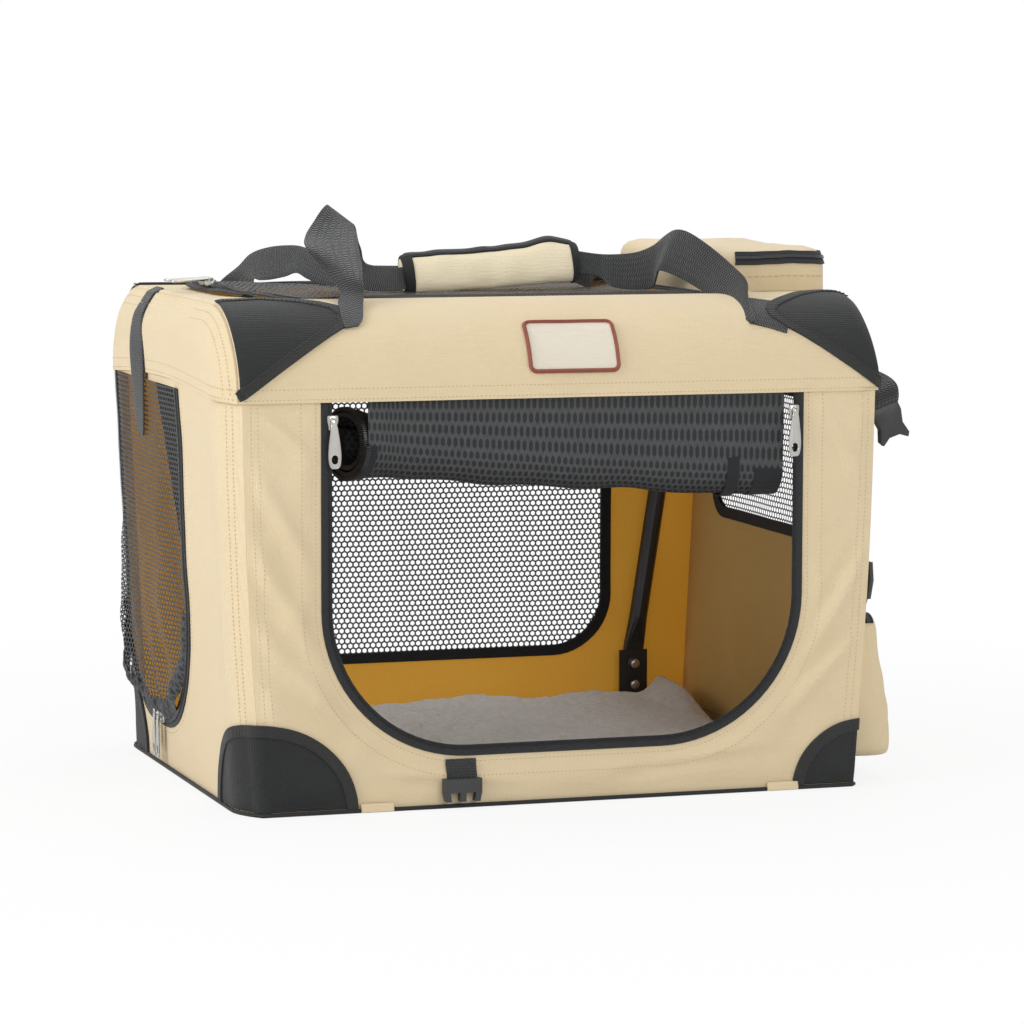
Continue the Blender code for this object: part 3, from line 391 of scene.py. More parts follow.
def trim(shape, path, surface, section, closed=False, slot=0):
    """A strip, cord or fold that follows a path on a cloth. The section gives (sideways, outward) points."""
    rows, places, run = [], [], 0.0
    for index, (u, v) in enumerate(path):
        nu, nv = leftward(path, index, closed)
        if index:
            run += hypot(u - path[index - 1][0], v - path[index - 1][1])
        rows.append([surface(u + nu * side, v + nv * side, out) for side, out in section])
        places.append([(side, run) for side, out in section])
    shape.rows(rows, slot, places, loop=closed, ring=True, caps=not closed)


def strip(low, high, bottom, top, edge=0.0004):
    """The section of a flat tape from one side to the other, its upper edges eased."""
    return [(low, bottom), (high, bottom), (high, top - edge), (high - edge, top), (low + edge, top), (low, top - edge)]


def cord_section(side, out, radius, sides=8):
    return [(side + radius * cos(2 * pi * step / sides), out + radius * sin(2 * pi * step / sides))
            for step in range(sides)]


def stitches(shape, path, surface, slot, closed=False, lift=0.0, pitch=THREAD_PITCH, thread=0.00042):
    """A row of machine stitches, each a small pinched length of thread."""
    for u, v, du, dv in pace(path, pitch, closed):
        half = pitch * 0.36
        ends = [surface(u - du * half, v - dv * half, lift), surface(u + du * half, v + dv * half, lift)]
        sides = [surface(u - dv * thread, v + du * thread, lift), surface(u + dv * thread, v - du * thread, lift)]
        heights = [surface(u, v, lift + thread * 1.1), surface(u, v, lift - thread * 0.6)]
        faces = [(0, 2, 4), (2, 1, 4), (1, 3, 4), (3, 0, 4), (2, 0, 5), (1, 2, 5), (3, 1, 5), (0, 3, 5)]
        shape.add(ends + sides + heights, faces, slot)


def offset(path, distance, closed=False):
    """A path moved sideways, to its left."""
    ways = [leftward(path, index, closed) for index in range(len(path))]
    return [(u + nu * distance, v + nv * distance) for (u, v), (nu, nv) in zip(path, ways)]


def slack(u, v, seed, size, depth):
    """How far loose cloth stands off its cut shape: broad waves with finer ones on them."""
    broad = noise.noise(Vector((u / size, v / size, seed)))
    fine = noise.noise(Vector((u / size * 2.7, v / size * 2.7, seed + 9.0)))
    return depth * (broad + 0.4 * fine)


def bell(value):
    """A hump, 1 at its middle, that dies away on both sides."""
    return 2.718 ** -(value ** 2)


def crease(u, v, start, end, width, height):
    """A soft fold along a line, which dies away at both ends."""
    eu, ev = end[0] - start[0], end[1] - start[1]
    length = hypot(eu, ev)
    along = ((u - start[0]) * eu + (v - start[1]) * ev) / length
    aside = ((u - start[0]) * ev - (v - start[1]) * eu) / length
    share = along / length
    if not -0.2 < share < 1.2 or abs(aside) > 3 * width:
        return 0.0
    fade = max(0.0, sin(pi * (share + 0.2) / 1.4))
    return height * fade * (bell(aside / width) - 0.5 * bell((aside - 1.6 * width) / width))


def smooth_step(value):
    value = min(max(value, 0.0), 1.0)
    return value * value * (3 - 2 * value)


def clear_of_seams(z):
    """0 where a wall is sewn in at its foot and its head, 1 between."""
    return smooth_step((z - 0.002) / 0.02) * smooth_step((0.33 - z) / 0.02)


# Each crease of the front: where it starts and ends, how wide it is and how high.
FRONT_CREASES = (
    ((-0.262, 0.222), (-0.206, 0.128), 0.0085, 0.0058),
    ((-0.250, 0.266), (-0.212, 0.196), 0.0075, 0.0042),
    ((-0.252, 0.150), (-0.192, 0.082), 0.0085, 0.0042),
    ((-0.240, 0.120), (-0.170, 0.060), 0.0070, 0.0030),
    ((0.256, 0.196), (0.212, 0.118), 0.0060, 0.0046),
    ((0.252, 0.130), (0.190, 0.066), 0.0060, 0.0034),
    ((-0.150, 0.031), (-0.050, 0.021), 0.0045, 0.0018),
    ((0.040, 0.027), (0.165, 0.040), 0.0050, 0.0020),
    ((-0.244, 0.310), (-0.214, 0.286), 0.0050, 0.0026),
    ((0.226, 0.300), (0.246, 0.262), 0.0050, 0.0022))
ARC_X, ARC_Z = 0.081, 0.162


def front_surface(x, z, out):
    """The front panel: taut along its seams and its zip, loose and creased between them."""
    clear = hypot(max(abs(x) - ARC_X, 0), max(ARC_Z - z, 0)) - DOOR_CORNER
    loose = smooth_step((clear - 0.003) / 0.016) * clear_of_seams(z) * smooth_step((wall_half(z) - abs(x)) / 0.014)
    rise = slack(x, z, 3.0, 0.070, 0.0036) + 0.0018 + sum(crease(x, z, *fold) for fold in FRONT_CREASES)
    sway = 0.0035 * sin(pi * z / 0.33) * smooth_step((abs(x) - 0.21) / 0.05)
    return Vector((x + (sway if x > 0 else -sway), -(FRONT_Y + max(rise, -0.001) * loose + out), z))


def weave(finish, pitch):
    """Threads over and under on any face of the crate."""
    place = finish.node("TexCoord", out="Object")
    axes = finish.node("SeparateXYZ", {}, {0: place}, out="X")
    turns = 2 * pi / pitch
    return sine(axes * turns) + sine(axes.other("Y") * turns) + sine(axes.other("Z") * turns)


def canvas(name, shade, worn, depth=0.00022, pitch=0.0011, roughness=0.82, sheen=0.25):
    """Woven polyester: an even dye with faint slubs, a fine weave, and a soft sheen."""
    cloth = Finish(name, {"Roughness": roughness, "Sheen Weight": sheen, "Sheen Roughness": 0.5,
                          "Specular IOR Level": 0.3})
    cloudy = cloth.noise(9.0, 4.0)
    slub = cloth.noise(420.0, 2.0)
    mottled = cloth.blend(cloudy * 0.55 + slub * 0.45, shade, worn)
    cloth.set(Base_Color=mottled, Normal=cloth.bump(weave(cloth, pitch) * 0.5 + slub * 1.6, depth, 0.55))
    return cloth


cream = canvas("cream canvas", paint(233, 215, 180), paint(221, 200, 161))
# Painted light: the lining is the same cream canvas, coloured gold for the light that comes through the cloth from
# outside.
lining_painted_light = canvas("cream canvas lining painted with light through it", paint(232, 194, 116), paint(214, 170, 88))
thread_tan = Finish("tan thread", {"Roughness": 0.6})
thread_tan.set(Base_Color=thread_tan.blend(thread_tan.noise(900.0), paint(214, 190, 150), paint(190, 163, 120)))

door_way = rounded(-DOOR_HALF, DOOR_HALF, DOOR_SILL, DOOR_HEAD, (DOOR_CORNER, DOOR_CORNER, 0.004, 0.004), 20)
front_edge = [(-wall_half(WALL_FOOT), WALL_FOOT), (wall_half(WALL_FOOT), WALL_FOOT),
              (wall_half(WALL_HEAD), WALL_HEAD), (-wall_half(WALL_HEAD), WALL_HEAD)]
zip_path = divide([(-DOOR_HALF, DOOR_HEAD)] + door_way[:42] + [(DOOR_HALF, DOOR_HEAD)], 0.006, closed=False)
front = Shape()
panel(front, divide(front_edge, 0.008), door_way, (0, 0.19), front_surface, CLOTH, 0.005, 20, lining=1)
for away in (HEM_ROW, 0.0180):
    stitches(front, offset(zip_path, -away), front_surface, 2)
for side in (-1, 1):
    for away in CORNER_ROWS:
        seam = [(side * (wall_half(z) - away), z) for z in (ROW_LOW, ROW_HIGH)]
        stitches(front, seam, front_surface, 2)


def crumple(piece):
    """Gives the piece a mesh of its own, and returns it."""
    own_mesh(piece)
    return piece


def flat_area(outline, hole=None):
    """The area that a panel is cut to, in square metres."""
    def shoelace(points):
        return abs(sum(a[0] * b[1] - b[0] * a[1] for a, b in zip(points, points[1:] + points[:1]))) / 2
    return shoelace(outline) - (shoelace(hole) if hole else 0)


front_piece = crumple(front.make("front_canvas", [cream, lining_painted_light, thread_tan], "base", ["front_wall"]))
flat_area(front_edge, door_way)


# Front door zip
# A number 8 nylon coil on black tape, sewn round the doorway, with the door's half unzipped and rolled up.
# The nickel sliders wait at the top on both sides, each with a long flat pull.
TAPE_WIDTH, COIL_PITCH = 0.0068, 0.0016


def coil(shape, path, surface, slot, side=0.0, lift=0.0, width=0.0026, height=0.0013, closed=False):
    """The coil's turns: a row of small rounded bars across the path."""
    for u, v, du, dv in pace(path, COIL_PITCH, closed):
        nu, nv = -dv, du
        half = COIL_PITCH * 0.34
        points = []
        for out, grow in ((0.0, 1.0), (height * 0.7, 0.9), (height, 0.5)):
            for along, across in ((-half, -width / 2), (half, -width / 2), (half, width / 2), (-half, width / 2)):
                a, b = along * grow, side + across * (0.6 + 0.4 * grow)
                points.append(surface(u + du * a + nu * b, v + dv * a + nv * b, lift + out))
        faces = [(3, 2, 1, 0), (8, 9, 10, 11)]
        for level in (0, 4):
            faces += [(level + i, level + (i + 1) % 4, level + 4 + (i + 1) % 4, level + 4 + i) for i in range(4)]
        shape.add(points, faces, slot)


tape_black = Finish("black zip tape", {"Roughness": 0.8, "Sheen Weight": 0.1})
tape_shade = tape_black.noise(260.0, 2.0)
tape_black.set(Base_Color=tape_black.blend(tape_shade, paint(24, 25, 27), paint(42, 43, 45)),
               Normal=tape_black.bump(weave(tape_black, 0.0012), 0.0002, 0.5))
coil_black = Finish("black nylon coil", {"Roughness": 0.34})
coil_black.set(Base_Color=coil_black.blend(coil_black.noise(500.0), paint(26, 27, 29), paint(52, 54, 56)))

front_tape = Shape()
trim(front_tape, zip_path, front_surface, strip(-0.002, TAPE_WIDTH, 0.0001, 0.0012))
coil(front_tape, zip_path, front_surface, 1, side=TAPE_WIDTH - 0.0016, lift=0.0011)
crumple(front_tape.make("front_zip_tape", [tape_black, coil_black], "base", ["front_zip"]))

nickel = Finish("satin nickel", {"Metallic": 1.0, "Roughness": 0.28})
rubbed = nickel.noise(160.0, 4.0)
nickel.set(Base_Color=nickel.blend(rubbed, paint(196, 193, 188), paint(158, 156, 152)),
           Roughness=rubbed * 0.25 + 0.16)


def frame_at(centre, along, out):
    """Crate places from a slider's own measures: sideways, along its zip and out from the cloth."""
    centre, along, out = Vector(centre), Vector(along).normalized(), Vector(out).normalized()
    aside = along.cross(out).normalized()
    return lambda side, run, rise: centre + aside * side + along * run + out * rise


def slider_body(shape, at, length=0.0118, width=0.0088, height=0.0042):
    """A die-cast slider: a waisted shell with two wings over the coil and a bridge on its back."""
    rows = []
    section = ((-0.9, 0.02), (0.9, 0.02), (1.0, 0.25), (1.0, 0.75), (0.82, 1.0), (0.3, 1.06), (-0.3, 1.06),
               (-0.82, 1.0), (-1.0, 0.75), (-1.0, 0.25))
    for run, wide, tall in ((-0.5, 0.62, 0.55), (-0.46, 0.72, 0.8), (-0.2, 0.8, 0.95), (0.1, 0.98, 1.0),
                            (0.36, 1.0, 0.92), (0.48, 0.9, 0.7), (0.5, 0.82, 0.5)):
        half = width / 2 * wide
        rows.append([at(side * half, run * length, rise * height * 0.62 * tall) for side, rise in section])
    shape.rows(rows, 0, None, ring=True, caps=True)
    arch = []
    for step in range(13):
        turn = pi * step / 12
        run, rise = -0.36 * length * cos(turn), height * (0.60 + 0.40 * sin(turn))
        arch.append([at(side, run, rise + lift) for side, lift in
                     ((-0.0011, -0.0004), (0.0011, -0.0004), (0.0011, 0.0004), (-0.0011, 0.0004))])
    shape.rows(arch, 0, None, ring=True, caps=True)


def slider_pull(shape, at, length=0.036, narrow=0.0062, wide=0.0108, thick=0.0013):
    """A stamped pull: a small eye at its neck, widening to a rounded end with a drop-shaped hole."""
    outer, inner = [], []
    for step in range(40):
        turn = 2 * pi * step / 40
        c, s = cos(turn), sin(turn)
        run = -0.5 * length + 0.5 * length * (abs(c) ** 0.72) * (1 if c > 0 else -1)
        share = -run / length
        half = (narrow + (wide - narrow) * smooth_step(share * 1.25)) / 2
        outer.append((half * (abs(s) ** 0.42) * (1 if s > 0 else -1), run))
        inner.append((0.0026 * s, -length * 0.80 + 0.0036 * c))
    levels = ((0.0, 0.0004), (thick * 0.3, 0.0), (thick * 0.8, 0.0), (thick, 0.0004))
    rings = [[at(u * (1 - ease / 0.004), v, out) for u, v in outer] for out, ease in levels]
    hole = [[at(u * (1 + ease / 0.004), v, out) for u, v in inner] for out, ease in levels]
    shape.rows(rings + hole[::-1], 0, None, loop=True, ring=True)


def wire(shape, path, radius, slot=0, sides=10, closed=False):
    """Round wire or cord along a path in space."""
    rows, lead = [], None
    for index, centre in enumerate(path):
        before, after = neighbours(path, index, closed)
        along = (after - before).normalized()
        lead = (lead - along * lead.dot(along)).normalized() if lead else along.orthogonal().normalized()
        over = along.cross(lead)
        rows.append([centre + (lead * cos(2 * pi * step / sides) + over * sin(2 * pi * step / sides)) * radius
                     for step in range(sides)])
    shape.rows(rows, slot, None, loop=closed, ring=True, caps=not closed)


def link_ring(shape, at, rise):
    """The wire eye between a slider and its pull."""
    turns = [2 * pi * step / 20 for step in range(20)]
    wire(shape, [at(0.0021 * sin(turn), -0.0002 + 0.0036 * cos(turn), rise) for turn in turns], 0.00065, closed=True)


SIDES, ENDS = ((-1, "left"), (1, "right")), ((-1, "front"), (1, "back"))
SLIDER_X, SLIDER_Z, PULL_Z = 0.1925, 0.308, 0.3085
for side, side_name in SIDES:
    x = side * SLIDER_X
    body = Shape()
    slider_body(body, frame_at((x, -0.1980, SLIDER_Z), (0, 0, 1), (0, -1, 0)))
    body.make(f"front_slider_body_{side_name}", [nickel], f"front_{side_name}_slider", [f"front_slider_{side_name}"])
    pull = Shape()
    slider_pull(pull, frame_at((x, -0.2027, PULL_Z), (0.02 * side, 0, 1), (0, -1, 0)))
    link_ring(pull, frame_at((x, -0.2022, PULL_Z), (0, 0, 1), (0, -1, 0)), 0.0009)
    pull.make(f"front_zip_pull_{side_name}", [nickel], f"front_{side_name}_pull", [f"front_pull_{side_name}"])


# Rolled front door
# The doorway's panel of black hexagonal net, unzipped and rolled up under the header. Its left end shows the
# spiral with the other half of the zip. Black tape binds both ends, and a tie holds the roll up.
NET_CELL, NET_THREAD = 0.0052, 0.28


def net(name, cell, thread, shade, dense=0.0):
    """Hexagonal net: knitted threads with open cells between them, laid out on the flat cloth."""
    knit = Finish(name, {"Roughness": 0.62})
    flat = knit.node("TexCoord", out="UV")
    across = knit.node("SeparateXYZ", {}, {0: flat}, out="X")
    u, v = across * (1 / cell), across.other("Y") * (1 / cell)
    tall = sqrt(3)

    def from_centre(shift):
        x = abs((u + shift) % 1.0 - 0.5)
        y = abs((v + shift * tall) % tall - tall / 2)
        return most(x, x * 0.5 + y * (tall / 2))

    reach_out = least(from_centre(0.0), from_centre(0.5))
    strand = reach_out > 0.5 - thread / 2
    knit.set(Base_Color=knit.blend(strand * (knit.noise(300.0) * 0.7 + 0.3), paint(10, 10, 11), shade),
             Alpha=most(strand, dense) if dense else strand)
    return knit


black_net = net("black hexagonal net", NET_CELL, NET_THREAD, paint(62, 63, 65))
rolled_net = net("rolled black net", NET_CELL, 0.36, paint(74, 76, 78), dense=1.0)
binding_black = canvas("black binding tape", paint(24, 25, 27), paint(42, 43, 45), pitch=0.0013, sheen=0.1)
ROLL_LEFT, ROLL_RIGHT, ROLL_LENGTH, HUNG_LENGTH = -0.172, 0.186, 0.28, 0.30
ROLL_Y, ROLL_Z, ROLL_OUT, ROLL_FALL, ROLL_WINDS = -0.1686, 0.2755, 0.0262, 0.028, 2.6
roll = Shape()


def roll_point(x, turn):
    """A point on the wound net: turn 0 is the core, 1 the outer end where it hangs from the header."""
    share = (x - ROLL_LEFT) / (ROLL_RIGHT - ROLL_LEFT)
    loose = 1 - smooth_step(share * 2.5)
    radius = 0.006 + (ROLL_OUT - 0.006) * (turn + 0.55 * loose * (1 - turn))
    radius *= 1 + 0.09 * noise.noise(Vector((x * 22, turn * 7, 2.0))) + 0.03 * sin(x * 90 + turn * 14) - 0.06 * share
    angle = pi + 2 * pi * ROLL_WINDS * (1 - turn)
    sag = -0.002 * sin(pi * share)
    shear = 0.36 * radius * cos(angle) * smooth_step((0.12 - share) / 0.12)
    radius *= 1 + 0.12 * smooth_step((0.10 - share) / 0.10)
    return Vector((x - shear, ROLL_Y + radius * cos(angle),
                   ROLL_Z - ROLL_FALL * (share - 0.5) + sag + radius * sin(angle)))


ROLL_STEPS, ROLL_COLUMNS = 96, 60
rows, places = [], []
for step in range(ROLL_STEPS + 1):
    turn = step / ROLL_STEPS
    length = ROLL_LENGTH * turn
    columns = [ROLL_LEFT + (ROLL_RIGHT - ROLL_LEFT) * column / ROLL_COLUMNS for column in range(ROLL_COLUMNS + 1)]
    rows.append([roll_point(x, turn) for x in columns])
    places.append([(x, length) for x in columns])
rows.append([Vector((point.x, -0.1948, DOOR_HEAD)) for point in rows[-1]])
places.append([(x, HUNG_LENGTH) for x, length in places[-1]])
roll.rows(rows, 0, places)


def roll_middle(x):
    share = (x - ROLL_LEFT) / (ROLL_RIGHT - ROLL_LEFT)
    return Vector((x, ROLL_Y, ROLL_Z - ROLL_FALL * (share - 0.5)))


def roll_out(x, turn):
    """The way out from the roll's middle at one of its points."""
    return (roll_point(x, turn) - roll_middle(x)).normalized()


roll_edge = Shape()
for x, width in ((ROLL_LEFT, 0.008), (ROLL_RIGHT - 0.024, 0.024)):
    loops = []
    for step in range(ROLL_STEPS * 2 + 1):
        turn = step / ROLL_STEPS / 2
        near, far, lift = roll_point(x, turn), roll_point(x + width, turn), roll_out(x, turn) * 0.0008
        loops.append([near + lift, far + lift, far - lift, near - lift])
    roll_edge.rows(loops, 0, None, ring=True, caps=True)
BLOCK = [(3, 2, 1, 0), (4, 5, 6, 7), (0, 1, 5, 4), (1, 2, 6, 5), (2, 3, 7, 6), (3, 0, 4, 7)]
last_tooth = roll_point(ROLL_LEFT, 0)
for step in range(ROLL_STEPS * 40):
    turn = step / (ROLL_STEPS * 40)
    spot = roll_point(ROLL_LEFT, turn)
    if (spot - last_tooth).length >= COIL_PITCH:
        out = roll_out(ROLL_LEFT, turn)
        along = (spot - last_tooth).normalized() * COIL_PITCH * 0.34
        corners = ((-0.0022, -1), (-0.0022, 1), (0.0014, 1), (0.0014, -1))
        roll_edge.add([spot + Vector((across, 0, 0)) + along * sign + out * lift
                       for lift in (-0.0017, 0.0017) for across, sign in corners], BLOCK, 1)
        last_tooth = spot
TIE_X, TIE_STEPS = 0.143, 24
tie = []
for step in range(TIE_STEPS + 1):
    angle = 2 * pi * step / TIE_STEPS
    out = Vector((0, cos(angle), sin(angle)))
    far = ROLL_OUT * 0.97
    tie.append([roll_middle(TIE_X) + out * (far + lift) + Vector((along, 0, 0))
                for along, lift in ((-0.005, 0.0), (0.005, 0.0), (0.005, 0.0012), (-0.005, 0.0012))])
roll_edge.rows(tie, 0, None, ring=True)
roll_piece = crumple(roll.make("rolled_front_door", [rolled_net], "base", ["rolled_door"], closed=False))
crumple(roll_edge.make("rolled_door_binding", [binding_black, coil_black], "base"))


# End walls
# The same cream canvas closes both ends. The left one is nearly all a zipped door of net, and the right one
# has a small net window above a pouch. Two rows of thread run down every corner seam.
END_HALF, END_SEAM = 0.1970, 0.1952
LEFT_DOOR = rounded(-0.0515, 0.1795, 0.038, 0.326, (0.104, 0.092, 0.004, 0.004))
RIGHT_WINDOW = rounded(-0.1415, 0.1415, 0.192, 0.3125, (0.0275,) * 4)


def end_surface(side, seed, deep=0.0022):
    def surface(y, z, out):
        edge = smooth_step((0.195 - abs(y)) / 0.025) * clear_of_seams(z)
        sway = 0.0035 * sin(pi * z / 0.33) * smooth_step((-y - 0.14) / 0.05)
        rise = slack(y, z, seed, 0.08, deep) * edge + sway + (left_swell(FRONT_Y - abs(y)) if side < 0 else 0.0)
        return Vector((side * (wall_half(z) + rise + out), y, z))
    return surface


left_surface = end_surface(-1, 21.0, 0.0012)
right_surface = end_surface(1, 33.0)
end_edge = [(-END_HALF, WALL_FOOT), (END_HALF, WALL_FOOT), (END_HALF, WALL_HEAD), (-END_HALF, WALL_HEAD)]
for name, surface, opening, node in (("left_canvas", left_surface, LEFT_DOOR, "left_wall"),
                                     ("right_canvas", right_surface, RIGHT_WINDOW, "right_wall")):
    wall = Shape()
    middle = (sum(u for u, v in opening) / len(opening), sum(v for u, v in opening) / len(opening))
    panel(wall, divide(end_edge, 0.02), opening, middle, surface, CLOTH, 0.006, 14, lining=1)
    for side in (-1, 1):
        for away in CORNER_ROWS:
            stitches(wall, [(side * (END_SEAM - away), z) for z in (ROW_LOW, ROW_HIGH)], surface, 2)
    stitches(wall, offset(opening, -HEM_ROW, True), surface, 2, closed=True)
    wall_piece = crumple(wall.make(name, [cream, lining_painted_light, thread_tan], "base", [node]))
    flat_area(end_edge, opening)


# Left door
# A loose door of net, zipped down both sides and along the bottom. It bellies outward, and gathers
# a little above the two sliders that meet in the middle of the bottom edge.
fine_net = net("close black net", 0.0046, 0.34, paint(66, 67, 69))
left_zip_path = divide([(-0.0515, 0.326)] + LEFT_DOOR[:26] + [(0.1795, 0.326)], 0.005, closed=False)
left_tape = Shape()
trim(left_tape, left_zip_path, left_surface, strip(-0.002, 0.010, 0.0001, 0.0013))
coil(left_tape, left_zip_path, left_surface, 1, side=0.0035, lift=0.0012, width=0.0034)
crumple(left_tape.make("left_zip_tape", [tape_black, coil_black], "base", ["left_zip"]))


def belly(y, z, out):
    """The net door stands off the wall, most of all low down and towards the back."""
    across = smooth_step((y + 0.044) / 0.06) * smooth_step((0.172 - y) / 0.03)
    upright = smooth_step((z - 0.044) / 0.035) * (0.25 + 0.75 * smooth_step((0.322 - z) / 0.18))
    fold = 0.0026 * sin(y * 130 + 3 * sin(z * 22)) * smooth_step((0.17 - z) / 0.10) * across
    rise = (0.0100 + slack(y, z, 47.0, 0.06, 0.003)) * across * upright + fold
    base = left_surface(y, z, 0)
    return Vector((base.x - max(rise, 0.0) - out, y, z))


left_net_edge = rounded(-0.0425, 0.1705, 0.047, 0.326, (0.096, 0.084, 0.002, 0.002))
left_net = Shape()
panel(left_net, divide(left_net_edge, 0.01), None, (0.064, 0.19), belly, 0, 0.004, 30)
GATHER_PITCH = 0.0035
gathers = []
for u, v, du, dv in pace(divide(left_net_edge[:26], 0.004, closed=False), GATHER_PITCH):
    pucker = noise.noise(Vector((u * 160, v * 160, 6.0)))
    section = ((-0.004, 0.0006), (0.001, 0.0034), (0.006, 0.0030 + 0.001 * pucker), (0.012, 0.0008))
    gathers.append([belly(u - dv * side, v + du * side, lift + 0.0014 * pucker) for side, lift in section])
left_net.rows(gathers, 1, [[(across * 0.5, index * GATHER_PITCH) for across in (0, 0.005, 0.010, 0.016)]
                           for index in range(len(gathers))])
left_net_piece = crumple(left_net.make("left_door_net", [fine_net, rolled_net], "base", ["left_mesh"], closed=False))

MEET_Y, MEET_Z, HALF_GAP = 0.064, 0.0425, 0.00675
NECK_X, NECK_Z = -0.2552, 0.0452
for end, end_name in ENDS:
    y = MEET_Y + end * HALF_GAP
    away = Vector((-1, 0, -LEAN)).normalized()
    body = Shape()
    at = frame_at(Vector((-wall_half(MEET_Z) - LEFT_SWELL, y, MEET_Z)) + away * 0.0012, (0, -end, 0), away)
    slider_body(body, at)
    body.make(f"left_slider_body_{end_name}", [nickel], f"side_{end_name}_slider", [f"left_slider_{end_name}"])
    pull = Shape()
    neck = Vector((NECK_X - LEFT_SWELL, y, NECK_Z))
    slider_pull(pull, frame_at(neck, (0, 0.02 * end, 1), away))
    link_ring(pull, frame_at(neck, (0, 0, 1), away), 0.0006)
    pull.make(f"left_zip_pull_{end_name}", [nickel], f"side_{end_name}_pull", [f"left_pull_{end_name}"])


# Right window
# A small net window high in the right wall. Its raw edges are bound inside and out with black tape.
# The net lies in the wall's own surface.
def raised(surface, lift):
    """A surface laid a little above another one, or below it."""
    return lambda u, v, out: surface(u, v, lift + out)


def window(wall, opening, net_edge, middle, surface, step, node):
    """A bound opening in a wall, with its net."""
    binding = Shape()
    for low, high in ((0.0001, 0.0013), (-0.0032, -0.0021)):
        trim(binding, divide(opening, 0.006), surface, strip(-0.003, 0.006, low, high), closed=True)
    crumple(binding.make(f"{wall}_window_binding", [binding_black], "base"))
    mesh = Shape()
    panel(mesh, divide(net_edge, 0.01), None, middle, raised(surface, -0.0008), 0, step, 20)
    net_piece = crumple(mesh.make(f"{wall}_window_net", [black_net], "base", [node], closed=False))


window("right", RIGHT_WINDOW, rounded(-0.1375, 0.1375, 0.196, 0.3085, (0.0235,) * 4), (0, 0.252), right_surface, 0.004,
       "right_mesh")


# Back wall
# The back is cut like the front, with a wide net window bound in black tape in place of a doorway.
# Daylight comes through its lining from behind.
BACK_WINDOW = rounded(-0.174, 0.174, 0.064, 0.312, (0.052,) * 4)


def back_surface(x, z, out):
    loose = clear_of_seams(z) * smooth_step((0.26 - abs(x)) / 0.03)
    return Vector((x, FRONT_Y + slack(x, z, 61.0, 0.08, 0.0016) * loose + out, z))


sunlit_lining = canvas("cream lining with light through it", paint(236, 186, 84), paint(222, 164, 60))
daylight = sunlit_lining.blend(sunlit_lining.noise(6.0), paint(232, 168, 52), paint(206, 140, 36))
sunlit_lining.set(Emission_Color=daylight, Emission_Strength=0.22)
back = Shape()
panel(back, divide(front_edge, 0.02), BACK_WINDOW, (0, 0.19), back_surface, CLOTH, 0.008, 14, lining=1)
stitches(back, offset(BACK_WINDOW, -HEM_ROW, True), back_surface, 2, closed=True)
back_piece = crumple(back.make("back_canvas", [cream, sunlit_lining, thread_tan], "base", ["back_wall"]))
flat_area(front_edge, BACK_WINDOW)
window("back", BACK_WINDOW, rounded(-0.170, 0.170, 0.068, 0.308, (0.048,) * 4), (0, 0.19), back_surface, 0.006,
       "back_mesh")


# Steel frame
# Round steel tube, 16 mm across, powder-coated black: a closed loop on the floor and two hoops that fold down.
# Pressed brackets are riveted to it, and the hoops' flattened feet turn on nickel rivets.
powder = Finish("black powder coat", {"Roughness": 0.42, "Coat Weight": 0.15})
orange_peel = powder.noise(700.0, 2.0)
powder.set(Base_Color=powder.blend(powder.noise(30.0), paint(24, 24, 26), paint(40, 40, 42)),
           Roughness=orange_peel * 0.2 + 0.32, Normal=powder.bump(orange_peel, 0.0002, 0.4))
BRACKETS = [f"hinge_bracket_{side_name}_{end_name}" for side, side_name in SIDES for end, end_name in ENDS]


def coat(node, finish):
    """A finish for a piece that keeps its own mesh."""
    for holder in node_object[node].material_slots:
        holder.material = finish.material


for node in ["bottom_frame", "support_left", "support_right"] + BRACKETS:
    coat(node, powder)

rivets = Shape()


def dome(shape, centre, out, radius, height, sides=20):
    """A turned rivet head: a low crown with a rolled edge."""
    out = Vector(out).normalized()
    side = out.orthogonal().normalized()
    up = out.cross(side)
    rows = []
    for grow, rise in ((1.0, 0.0), (1.0, 0.35), (0.86, 0.75), (0.5, 0.97), (0.06, 1.0)):
        rows.append([Vector(centre) + out * height * rise + (side * cos(2 * pi * step / sides)
                     + up * sin(2 * pi * step / sides)) * radius * grow for step in range(sides)])
    shape.rows(rows, 0, None, ring=True, caps=True)


RIVET_RADIUS, RIVET_CROWN, RIVET_DROPS = 0.0042, 0.0014, (0.031, 0.012)
for node in BRACKETS:
    low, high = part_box(node)
    inward = 1 if node.endswith("front") else -1
    face = high[1] if inward > 0 else low[1]
    for drop in RIVET_DROPS:
        spot = ((low[0] + high[0]) / 2, face - inward * 0.0002, high[2] - drop)
        dome(rivets, spot, (0, inward, 0), RIVET_RADIUS, RIVET_CROWN)
rivets.make("hinge_rivet_heads", [nickel], "base")


# Floor
# A thin board in a sleeve of black cloth, cut to the crate's foot and laid flat.
# The bottom tube lies on it.
def level(height):
    """A flat surface at one height."""
    return lambda x, y, out: Vector((x, y, height + out))


def foot_path(inset):
    """The crate's outline at the floor, anticlockwise from its back left corner."""
    deep = 0.1993 - inset
    left = [(-(0.2495 - inset + left_swell(deep - abs(y))), y) for y in [deep * (1 - step / 20) for step in range(41)]]
    return left + [(0.2465 - inset, -deep), (0.2495 - inset, -deep + 0.003), (0.2495 - inset, deep - 0.003),
                   (0.2465 - inset, deep)]


BOARD = 0.0025
floor = Shape()
panel(floor, foot_path(0.002), None, (0, 0), level(BOARD), BOARD, 0.02, 12)
floor_board = floor.make("floor_sleeve", [binding_black], "base", ["floor_panel"])


